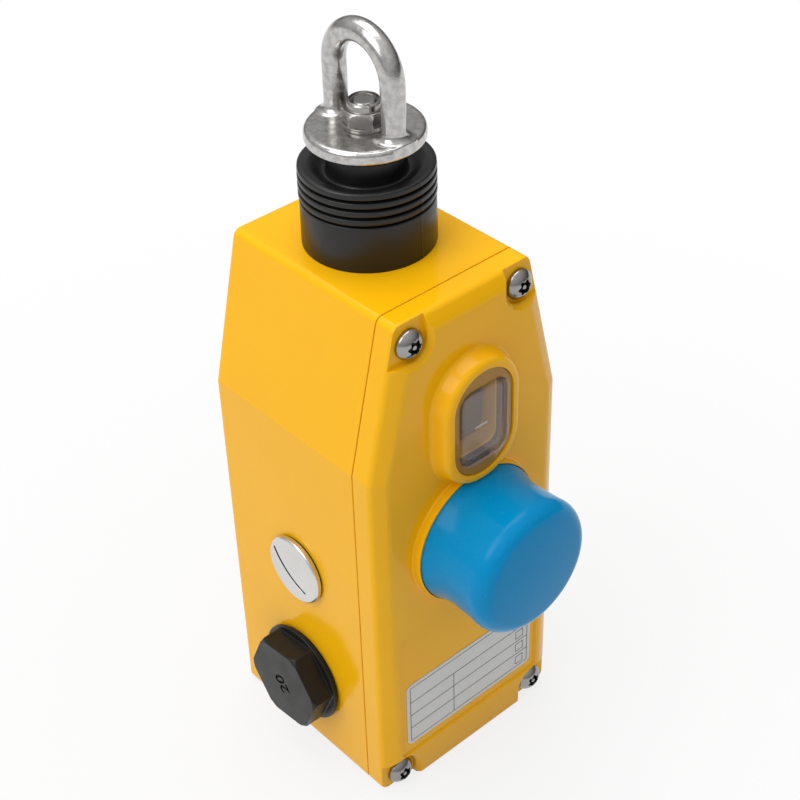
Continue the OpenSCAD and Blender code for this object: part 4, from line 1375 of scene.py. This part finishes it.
@dataclass
class ResetButton:
    """The blue cap with its waist and its rounded front."""

    rim_y: float = -37.3 * MM
    back_y: float = -36.0 * MM
    front_y: float = -58.9 * MM
    skirt_r: float = 19.2 * MM
    waist_r: float = 18.05 * MM
    front_r: float = 18.6 * MM
    waist_at: float = 6.5 * MM
    rounding: float = 4.6 * MM
    crown: float = 0.7 * MM
    wall: float = 2.2 * MM
    stem_r: float = 4.05 * MM
    socket_r: float = 6.2 * MM
    socket_l: float = 6.0 * MM
    skirt_edge: float = 0.15 * MM
    skirt_band: float = 0.4 * MM
    waist_steps: int = 16
    swell_steps: int = 12
    swell_power: float = 1.6
    swell_share: float = 0.98
    arc: Point = (6.0, 84.0)
    arc_steps: int = 20
    crown_steps: int = 10
    crown_share: float = 0.97
    steps: int = 160
    sharp: float = 40.0

    def profile(self) -> list[Point]:
        """Gives the cap's section, from its skirt over the front and back inside.

        Returns:
            Radius and height of its points.
        """
        foot = -self.back_y
        neck_from = -self.rim_y + self.skirt_band
        bend_h = -self.front_y - self.crown - self.rounding
        swell_from = neck_from + self.waist_at
        swell = bend_h - swell_from
        inside = -self.front_y - self.wall - self.crown
        flat_r = self.front_r - self.rounding
        outer: list[Point] = [(self.skirt_r - self.skirt_edge, foot), (self.skirt_r, foot + self.skirt_edge)]
        for k in range(self.waist_steps + 1):
            part = k / self.waist_steps
            outer.append((self.waist_r + (self.skirt_r - self.waist_r) * (1 - part) ** 2,
                          neck_from + self.waist_at * part))
        for k in range(1, self.swell_steps + 1):
            part = k / self.swell_steps
            grow = (self.front_r - self.waist_r) * (part ** self.swell_power) * self.swell_share
            outer.append((self.waist_r + grow, swell_from + swell * part))
        outer += bend((flat_r, bend_h), self.rounding, *self.arc, self.arc_steps)
        for k in range(self.crown_steps - 1, -1, -1):
            part = k / self.crown_steps
            outer.append((flat_r * part, -self.front_y - self.crown * self.crown_share * part ** 2))
        inner = [(0.0, inside), (self.stem_r, inside), (self.stem_r, inside - self.socket_l),
                 (self.socket_r, inside - self.socket_l), (self.socket_r, inside), (flat_r, inside),
                 (self.front_r - self.wall, inside - self.rounding), (self.skirt_r - self.wall, foot)]
        return outer + inner

    def build(self, finish: Finishes) -> None:
        """Makes the cap.

        Args:
            finish: The finishes to dress it in.
        """
        low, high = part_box("reset_cap")
        lathe = Lathe(Axis.BUTTON, (0.0, 0.0, (low[2] + high[2]) / 2))
        cap = place(lathe.turn(self.profile(), self.steps), "reset_button_cap", finish.blue, sharp=self.sharp)
        hand_over(cap, Body.RESET, "blue_cap", "reset_cap")


@dataclass
class Boot:
    """The rubber boot: a plain foot, four folds, and a dish round the sleeve that rises to the eye."""

    inner_r: float = 13.5 * MM
    outer_r: float = 16.3 * MM
    base_z: float = 149.5 * MM
    fold_z: float = 161.5 * MM
    fold_h: float = 2.2 * MM
    folds: int = 4
    groove: float = 0.42 * MM
    groove_d: float = 1.3 * MM
    dish_z: float = 167.9 * MM
    sleeve_r: float = 9.6 * MM
    sleeve_top: float = 175.85 * MM
    bore_r: float = 4.3 * MM
    floor_z: float = 165.7 * MM
    mould_at: Point = (-82.0, 98.0)
    mould_h: float = 0.09 * MM
    mould_w: float = 0.16 * MM
    fine: float = 0.1 * MM
    soft: float = 0.3 * MM
    bulge: float = 0.08 * MM
    bulge_soft: float = 0.36 * MM
    fold_ends: Point = (0.3 * MM, 0.12 * MM)
    groove_soft: float = 0.05 * MM
    lip_edge: tuple[Triple, ...] = ((-0.05 * MM, -0.1 * MM, 0.5 * MM), (-1.1 * MM, 0.16 * MM, 0.6 * MM))
    dish_ends: Point = (2.2 * MM, 0.5 * MM)
    sleeve_foot: tuple[Point, ...] = ((0.12 * MM, 0.3 * MM), (0.0, 0.9 * MM))
    rim_soft: float = 0.4 * MM
    ceiling_in: float = 1.0 * MM
    inside_step: tuple[Point, ...] = ((0.4 * MM, 9.3 * MM), (0.0, 9.0 * MM))
    outer_from: float = 0.5 * MM
    dish_steps: int = 12
    steps: int = 132
    sharp: float = 50.0

    def lip_z(self) -> float:
        """Height of the lip over the last fold."""
        return self.fold_z + self.folds * self.fold_h

    def wall(self) -> list[Triple]:
        """Gives the corners of the foot and the folds, from the bottom to the lip.

        Returns:
            Radius, height and rounding of each corner.
        """
        fine = self.fine
        corners = [(self.inner_r, self.base_z, 0.0), (self.outer_r, self.base_z, fine),
                   (self.outer_r - fine, self.fold_z - fine, self.soft)]
        groove_r, fold_r = self.outer_r - self.groove_d, self.outer_r + self.bulge
        for k in range(self.folds):
            low = self.fold_z + k * self.fold_h
            corners += [(groove_r, low + self.groove_soft, self.groove_soft),
                        (groove_r, low + self.groove, self.groove_soft),
                        (fold_r, low + self.groove + self.fold_ends[0], self.bulge_soft)]
            if k < self.folds - 1:
                corners.append((fold_r, low + self.fold_h - self.fold_ends[1], self.soft))
        return corners + [(self.outer_r + out, self.lip_z() + up, soft) for out, up, soft in self.lip_edge]

    def dish(self) -> list[Triple]:
        """Gives the corners of the dish, from the lip down to the foot of the sleeve.

        Returns:
            Radius, height and rounding of each corner.
        """
        out, low_r = self.outer_r - self.dish_ends[0], self.sleeve_r + self.dish_ends[1]
        corners = []
        for k in range(self.dish_steps, -1, -1):
            part = k / self.dish_steps
            rise = (self.lip_z() - self.dish_z) * (1 - math.cos(math.pi * part)) / 2
            corners.append((low_r + (out - low_r) * part, self.dish_z + rise, 0.0))
        return corners

    def sleeve(self) -> list[Triple]:
        """Gives the corners of the sleeve, its bore and the boot's inside.

        Returns:
            Radius, height and rounding of each corner.
        """
        corners = [(self.sleeve_r + out, self.dish_z + up, 0.0) for out, up in self.sleeve_foot]
        corners += [(self.sleeve_r, self.sleeve_top, self.rim_soft),
                    (self.bore_r, self.sleeve_top, self.fine), (self.bore_r, self.floor_z, self.fine),
                    (self.inner_r - self.ceiling_in, self.floor_z, self.rim_soft)]
        return corners + [(self.inner_r - back, self.base_z + up, 0.0) for back, up in self.inside_step]

    def angles(self) -> list[float]:
        """Gives the angles round the boot, close together at the mould lines.

        Returns:
            The angles in radians, in rising order.
        """
        result = set(even_angles(self.steps))
        for line in self.mould_at:
            middle = math.radians(line) % (2 * math.pi)
            result |= {middle + k * 0.5 * self.mould_w / self.outer_r for k in range(-4, 5)}
        return sorted(result)

    def build(self, finish: Finishes) -> None:
        """Makes the boot.

        Args:
            finish: The finishes to dress it in.
        """
        lines = [math.radians(line) for line in self.mould_at]

        def ridge(angle: float) -> float:
            """Height of the mould line at an angle."""
            turns = [abs(math.remainder(angle - line, 2 * math.pi)) * self.outer_r for line in lines]
            return self.mould_h * math.exp(-(min(turns) / self.mould_w) ** 2)

        outside = self.inner_r + self.outer_from
        rings: list[Ring] = [
            lambda a, r=radius, h=height: (r + (ridge(a) if r > outside else 0.0), h)
            for radius, height in smooth_profile(self.wall() + self.dish() + self.sleeve(), 4)
        ]
        mesh = Lathe(Axis.PULL, (0.0, 0.0, 0.0)).loft(rings, self.angles())
        boot = place(mesh, "bellows_boot", finish.boot, sharp=self.sharp)
        fold_ends = (0.0, 0.0, self.fold_z), (0.0, 0.0, self.lip_z())
        hand_over_blend(boot, Body.PULL, *fold_ends, "boot_rubber", "boot")


@dataclass
class RopeEye:
    """The forged eye with its nut and washer, and the polished end of the shaft."""

    cell: float = 0.24 * MM
    melt: int = 7
    nut_round: float = 0.14 * MM
    nut_turn: float = 20.0
    washer_round: float = 0.15 * MM
    shaft_round: float = 0.12 * MM

    def build(self, finish: Finishes) -> None:
        """Makes the eye's pieces.

        Args:
            finish: The finishes to dress them in.
        """
        eye = remeshed("rope_eye", "forged_eye", finish.eye, self.cell, self.melt)
        hand_over(eye, Body.PULL, "eye_steel", "rope_eye")
        for node, name, rule in (("eye_nut", "lock_nut", even_edges(self.nut_round, self.nut_turn)),
                                 ("eye_washer", "flat_washer", even_edges(self.washer_round)),
                                 ("pull_shaft", "ground_shaft", even_edges(self.shaft_round))):
            hand_over(softened(node, name, finish.bright, rule), Body.PULL, "stainless", node)


@dataclass
class Springs:
    """The main spring on the pull shaft and the return spring behind the button."""

    main_wire: float = 0.55 * MM
    reset_wire: float = 0.35 * MM
    main_turns: float = 8.0
    reset_turns: float = 6.0
    per_turn: int = 40
    wire_sides: int = 12

    def coil_tree(self) -> Growth:
        """Builds the tree that winds a coil with flat ends.

        Returns:
            The tree.
        """
        tree = Growth("wound_coil")
        spiral = tree.add("GeometryNodeCurveSpiral", Resolution=tree.size("Per turn", "NodeSocketInt"),
                          Rotations=tree.size("Turns"), Start_Radius=tree.size("Radius"))
        tree.link(tree.entry.outputs["Radius"], spiral.inputs["End Radius"])
        tree.link(tree.size("Height"), spiral.inputs["Height"])
        circle = tree.add("GeometryNodeCurvePrimitiveCircle", Radius=tree.size("Wire"))
        circle.inputs["Resolution"].default_value = self.wire_sides
        tube = tree.add("GeometryNodeCurveToMesh", Curve=spiral.outputs[0], Profile_Curve=circle.outputs[0])
        tube.inputs["Fill Caps"].default_value = True
        return tree.finish(tube.outputs[0])

    def wound(self, tree: Growth, node: str, name: str, wire: float, turns: float, axis: Axis,
              finish: Finishes) -> bpy.types.Object:
        """Winds one spring in its node's place.

        Args:
            tree: The tree that winds it.
            node: The CAD node that it stands for.
            name: The piece's name.
            wire: Radius of its wire.
            turns: Number of its turns.
            axis: The axis that it runs along.
            finish: The finishes to dress it in.

        Returns:
            The finished piece.
        """
        low, high = (Vector(corner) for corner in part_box(node))
        x, y, z = ((low[k] + high[k]) / 2 for k in range(3))
        span = high - low
        if axis is Axis.PULL:
            across, length = high.x - low.x, span.z
            place_at = Matrix.Translation((x, y, low.z + wire))
        else:
            across, length = max(high.x - low.x, high.z - low.z), span.y
            tilt = Matrix.Rotation(math.radians(90.0), 4, "X")
            place_at = Matrix.Translation((x, high.y - wire, z)) @ tilt
        seed = bpy.data.meshes.new(node + "_seed")
        mesh = tree.grow(seed, Radius=across / 2 - wire, Height=length - 2 * wire, Wire=wire, Turns=turns,
                         Per_turn=self.per_turn, Material=finish.zinc)
        mesh.transform(place_at)
        return place(mesh, name, finish.zinc)

    def build(self, finish: Finishes) -> None:
        """Makes both springs.

        Args:
            finish: The finishes to dress them in.
        """
        tree = self.coil_tree()
        low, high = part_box("main_spring")
        main = self.wound(tree, "main_spring", "main_coil", self.main_wire, self.main_turns, Axis.PULL,
                          finish)
        ends = (0.0, 0.0, high[2]), (0.0, 0.0, low[2])
        hand_over_blend(main, Body.PULL, *ends, "zinc_steel", "main_spring")
        low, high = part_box("reset_spring")
        middle = (low[2] + high[2]) / 2
        back = self.wound(tree, "reset_spring", "return_coil", self.reset_wire, self.reset_turns, Axis.BUTTON,
                          finish)
        ends = (0.0, high[1], middle), (0.0, low[1], middle)
        hand_over_blend(back, Body.RESET, *ends, "zinc_steel", "reset_spring")


@dataclass
class SidePlugs:
    """The hexagon plugs of both conduit entries and the coin-slot plug."""

    size_mark: str = "20"
    mark_h: float = 4.2 * MM
    mark_d: float = 0.3 * MM
    mark_turn: float = 125.0
    mark_size: float = 1.4
    mark_bold: float = 0.12 * MM
    mark_steps: int = 6
    centre: Point = (-2.0 * MM, 24.7 * MM)
    face: float = 39.25 * MM
    coin_centre: Point = (-2.7 * MM, 63.2 * MM)
    coin_flat: float = 8.9 * MM
    coin_round: float = 0.1 * MM
    slot_depth: float = 0.12 * MM
    case_half: float = 31.0 * MM
    plug_round: float = 0.3 * MM
    plug_turn: float = 18.0
    plug_sharp: float = 30.0

    def mark(self, side: Side, material: bpy.types.Material) -> bpy.types.Object:
        """Makes the solid that cuts the size mark into a plug's face.

        Args:
            side: The plug's side.
            material: The finish in the cut.

        Returns:
            The cutting object.
        """
        text = bpy.data.curves.new("size_mark", "FONT")
        text.body = self.size_mark
        text.size = self.mark_h * self.mark_size
        text.extrude = self.mark_d
        text.offset = self.mark_bold
        text.align_x = "CENTER"
        text.align_y = "CENTER"
        text.resolution_u = self.mark_steps
        rough = bpy.data.objects.new("size_mark", text)
        bpy.context.scene.collection.objects.link(rough)
        mesh = baked(rough)
        turn = math.radians(self.mark_turn)
        right = Vector((0.0, float(side.value), 0.0))
        up = Vector((0.0, 0.0, 1.0))
        along = right * math.cos(turn) + up * math.sin(turn)
        above = up * math.cos(turn) - right * math.sin(turn)
        out = Vector((float(side.value), 0.0, 0.0))
        place_at = Matrix.Translation((side.value * self.face, self.centre[0], self.centre[1]))
        mesh.transform(place_at @ Matrix((along, above, out)).transposed().to_4x4())
        mesh.materials.clear()
        mesh.materials.append(material)
        return link_object(mesh, "size_mark_cutter")

    def build(self, finish: Finishes) -> None:
        """Makes the plugs.

        Args:
            finish: The finishes to dress them in.
        """
        for side in Side:
            name = side.name.lower()
            rule = even_edges(self.plug_round, self.plug_turn)
            plug = softened("conduit_plug_" + name, "marked_plug_" + name, finish.plug, rule)
            cutter = self.mark(side, finish.cut)
            carve = plug.modifiers.new("mark", "BOOLEAN")
            carve.object = cutter
            carve.solver = "EXACT"
            carve.material_mode = "TRANSFER"
            mesh = baked(plug)
            bpy.data.objects.remove(cutter)
            plug = weighted(mesh, "hexagon_plug_" + name, *mesh.materials, sharp=self.plug_sharp)
            hand_over(plug, Body.CASE, "black_plastic", "conduit_plug_" + name)
        coin = softened("coin_plug", "coin_slot_plug", finish.nickel, even_edges(self.coin_round))
        # Painted shade: the slot's walls and floor take a near-black steel in place of the shade inside the
        # slot.
        coin.data.materials.append(finish.recess)
        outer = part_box("coin_plug")[0][0] + self.slot_depth
        for face in coin.data.polygons:
            off = Vector((face.center.y, face.center.z)) - Vector(self.coin_centre)
            if outer < face.center.x < -self.case_half and off.length < self.coin_flat:
                face.material_index = 1
        hand_over(coin, Body.CASE, "nickel", "coin_plug")


@dataclass
class RatingLabel:
    """The film label with blank ruled fields."""

    margin: float = 1.2 * MM
    line: float = 0.22 * MM
    film: float = 0.03 * MM
    corner: float = 1.8 * MM
    trim: float = 0.9 * MM
    rows: tuple[float, ...] = (0.27, 0.51, 0.75)
    column: float = 0.36
    box_side: float = 4.6 * MM
    box_share: float = 0.56
    box_inset: float = 3.0 * MM

    def rules(self, low: Triple, high: Triple) -> bpy.types.Mesh:
        """Makes the printed lines.

        Args:
            low: Lowest corner of the label.
            high: Its highest corner.

        Returns:
            The mesh.
        """
        left, right = low[0] + self.margin, high[0] - self.margin
        base, top = low[2] + self.margin, high[2] - self.margin
        near, far = low[1] - self.film, low[1] + self.film
        half = self.line / 2
        split = left + (right - left) * self.column
        boxes: list[tuple[Triple, Triple]] = []

        def across(start: float, end: float, z: float) -> None:
            """Adds a line across."""
            boxes.append(((start - half, near, z - half), (end + half, far, z + half)))

        def upright(x: float, start: float, end: float) -> None:
            """Adds an upright line."""
            boxes.append(((x - half, near, start + half), (x + half, far, end - half)))

        levels = [top - (top - base) * part for part in self.rows]
        across(left, right, base)
        across(left, right, top)
        for z in levels:
            across(left, right, z)
        upright(left, base, top)
        upright(right, base, top)
        upright(split, base, levels[0])
        for z in levels[1:] + [base]:
            centre = z + (levels[0] - levels[1]) / 2
            side = min(self.box_side, (levels[0] - levels[1]) * self.box_share) / 2
            x = right - self.box_inset
            across(x - side, x + side, centre - side)
            across(x - side, x + side, centre + side)
            upright(x - side, centre - side, centre + side)
            upright(x + side, centre - side, centre + side)
        return bars(boxes)

    def build(self, finish: Finishes) -> None:
        """Makes the label and its lines.

        Args:
            finish: The finishes to dress them in.
        """
        low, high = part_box("label_plate")
        high = (high[0], high[1], high[2] - self.trim)
        size = ((high[0] - low[0]) / 2, (high[2] - low[2]) / 2)
        centre = (0.0, (low[2] + high[2]) / 2)
        outline = rounded_outline(size[0], size[1], self.corner)
        inner = rounded_outline(size[0] - self.film, size[1] - self.film, self.corner - self.film)
        mesh = stacked([(outline, high[1]), (outline, low[1] + self.film), (inner, low[1])], centre)
        hand_over(place(mesh, "blank_label", finish.label), Body.CASE, "label_film", "label_plate")
        lines = place(self.rules(low, high), "label_fields", finish.ink)
        hand_over(lines, Body.CASE, "label_film")


class PlainNodes:
    """CAD nodes whose shape is right as it is, so that they only take a finish."""

    def dress(self, finish: Finishes) -> None:
        """Gives every CAD node its finish.

        Args:
            finish: The finishes to choose from.
        """
        by_slot = {
            "yellow_paint": finish.yellow, "seal_rubber": finish.seal, "boot_rubber": finish.boot,
            "stainless": finish.bright, "eye_steel": finish.eye, "label_film": finish.label,
            "clear_lens": finish.clear, "blue_cap": finish.blue, "zinc_steel": finish.zinc,
            "black_plastic": finish.plug, "bronze": finish.bronze, "cream_plastic": finish.cream,
            "dark_plastic": finish.dark, "white_mark": finish.white, "white_acetal": finish.acetal,
            "red_plastic": finish.red, "brass_screw": finish.brass, "nickel": finish.nickel,
        }
        for part in frame["record"]["subparts"]:
            for socket in frame["nodes"][part["node"]].material_slots:
                socket.material = by_slot[part["material_slot"]]


# ---- Studio --------------------------------------------------------------------------------------


@dataclass(frozen=True)
class SoftBox:
    """A large, dim square light.

    Attributes:
        name: Its name.
        centre: Its centre.
        side: Its side in metres.
        power: Its power in watts.
    """

    name: str
    centre: Triple
    side: float
    power: float

    def build(self, aim: Vector) -> None:
        """Adds the light and turns it to the aim point.

        Args:
            aim: The point that it faces.
        """
        data = bpy.data.lights.new(self.name, "AREA")
        data.size = self.side
        data.energy = self.power
        lamp = bpy.data.objects.new(self.name, data)
        lamp.location = self.centre
        lamp.rotation_euler = (aim - Vector(self.centre)).to_track_quat("-Z", "Y").to_euler()
        bpy.context.scene.collection.objects.link(lamp)


@dataclass
class Studio:
    """Floor, soft lights, world and camera."""

    aim: Triple = (0.0045, -0.0039, 0.0997)
    distance: float = 0.4335
    azimuth: float = -40.89
    elevation: float = 37.71
    roll: float = -1.85
    lens: float = 75.94
    sensor: float = 36.0
    nearest: float = 0.01
    floor_half: float = 3.0
    floor_tone: float = 0.68
    shade_share: float = 0.8
    shade_reach: Point = (0.05, 0.28)
    zenith: float = 0.95
    horizon: float = 0.25
    dimmest: float = 0.04
    side_swing: Triple = (-0.22, 0.0, 0.0)
    boxes: tuple[SoftBox, ...] = (SoftBox("left_box", (-0.8, 0.05, 0.9), 0.7, 4.5),
                                  SoftBox("top_box", (0.1, 0.3, 1.2), 0.9, 6.3))

    def set_camera(self) -> None:
        """Places the camera at its distance from the aim point."""
        data = bpy.data.cameras.new("camera")
        data.lens = self.lens
        data.sensor_width = self.sensor
        data.clip_start = self.nearest
        az, el = math.radians(self.azimuth), math.radians(self.elevation)
        ahead = Vector((-math.sin(az) * math.cos(el), math.cos(az) * math.cos(el), -math.sin(el)))
        right = ahead.cross(Vector((0, 0, 1))).normalized()
        turn = Matrix.Rotation(math.radians(-self.roll), 3, ahead)
        across = turn @ right
        above = turn @ right.cross(ahead)
        camera = bpy.data.objects.new("camera", data)
        rotation = Matrix((across, above, -ahead)).transposed().to_4x4()
        camera.matrix_world = Matrix.Translation(Vector(self.aim) - ahead * self.distance) @ rotation
        bpy.context.scene.collection.objects.link(camera)
        bpy.context.scene.camera = camera

    def white_rays(self, wiring: Wiring) -> Socket:
        """Adds the share of rays that see plain white: camera, glossy and transmission rays.

        Args:
            wiring: The tree to add it to.

        Returns:
            The share.
        """
        path = wiring.add("ShaderNodeLightPath")
        seen = wiring.math("MAXIMUM", path.outputs["Is Camera Ray"], path.outputs["Is Glossy Ray"])
        return wiring.math("MAXIMUM", seen, path.outputs["Is Transmission Ray"])

    def set_floor(self) -> None:
        """Makes the pale floor, which keeps the shadow near the switch."""
        mesh = bpy.data.meshes.new("floor")
        half = self.floor_half
        corners = [(-half, -half, 0), (half, -half, 0), (half, half, 0), (-half, half, 0)]
        mesh.from_pydata(corners, [], [(0, 1, 2, 3)])
        material = bpy.data.materials.new("floor_paper")
        material.use_nodes = True
        wiring = Wiring(material.node_tree)
        wiring.tree.nodes.clear()
        paper = wiring.add("ShaderNodeBsdfDiffuse", Color=(self.floor_tone,) * 3 + (1.0,))
        glow = wiring.add("ShaderNodeEmission")
        coords = wiring.add("ShaderNodeTexCoord")
        reach = wiring.combine("ShaderNodeVectorMath", "LENGTH", coords.outputs["Object"])
        fade = wiring.ramp(reach.outputs["Value"], self.shade_share, 1.0, *self.shade_reach)
        share = wiring.math("MULTIPLY", self.white_rays(wiring), fade)
        mix = wiring.add("ShaderNodeMixShader", Fac=share)
        wiring.link(paper.outputs[0], mix.inputs[1])
        wiring.link(glow.outputs[0], mix.inputs[2])
        wiring.add("ShaderNodeOutputMaterial", Surface=mix.outputs[0])
        mesh.materials.append(material)
        link_object(mesh, "floor")

    def set_world(self) -> None:
        """Makes the world: brighter overhead and to the left, white where the camera sees it."""
        world = bpy.data.worlds.new("studio")
        world.use_nodes = True
        wiring = Wiring(world.node_tree)
        wiring.tree.nodes.clear()
        sight = wiring.add("ShaderNodeTexCoord").outputs["Generated"]
        parts = wiring.add("ShaderNodeSeparateXYZ", Vector=sight)
        rise = wiring.ramp(parts.outputs["Z"], self.horizon, self.zenith, 0.0, 1.0)
        swing = wiring.combine("ShaderNodeVectorMath", "DOT_PRODUCT", sight, self.side_swing)
        glow = wiring.math("MAXIMUM", wiring.math("ADD", rise, swing.outputs["Value"]), self.dimmest)
        soft = wiring.add("ShaderNodeBackground", Color=(1.0, 1.0, 1.0, 1.0), Strength=glow)
        white = wiring.add("ShaderNodeBackground", Color=(1.0, 1.0, 1.0, 1.0))
        path = wiring.add("ShaderNodeLightPath")
        blend = wiring.add("ShaderNodeMixShader", Fac=path.outputs["Is Camera Ray"])
        wiring.link(soft.outputs[0], blend.inputs[1])
        wiring.link(white.outputs[0], blend.inputs[2])
        wiring.add("ShaderNodeOutputWorld", Surface=blend.outputs[0])
        bpy.context.scene.world = world
        bpy.context.scene.view_settings.view_transform = "Standard"

    def build(self) -> None:
        """Makes the whole studio."""
        self.set_camera()
        self.set_floor()
        self.set_world()
        for box in self.boxes:
            box.build(Vector(self.aim))


def main() -> None:
    """Builds every sub-assembly in order."""
    logging.basicConfig(level=logging.INFO, format="%(message)s")
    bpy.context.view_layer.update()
    finish = Finishes()
    Studio().build()
    PlainNodes().dress(finish)
    for assembly in (CastCase(), LidScrews(), Window(), ResetButton(), Boot(), RopeEye(), Springs(),
                     SidePlugs(), RatingLabel()):
        assembly.build(finish)
    bpy.context.view_layer.update()


if __name__ == "__main__":
    main()
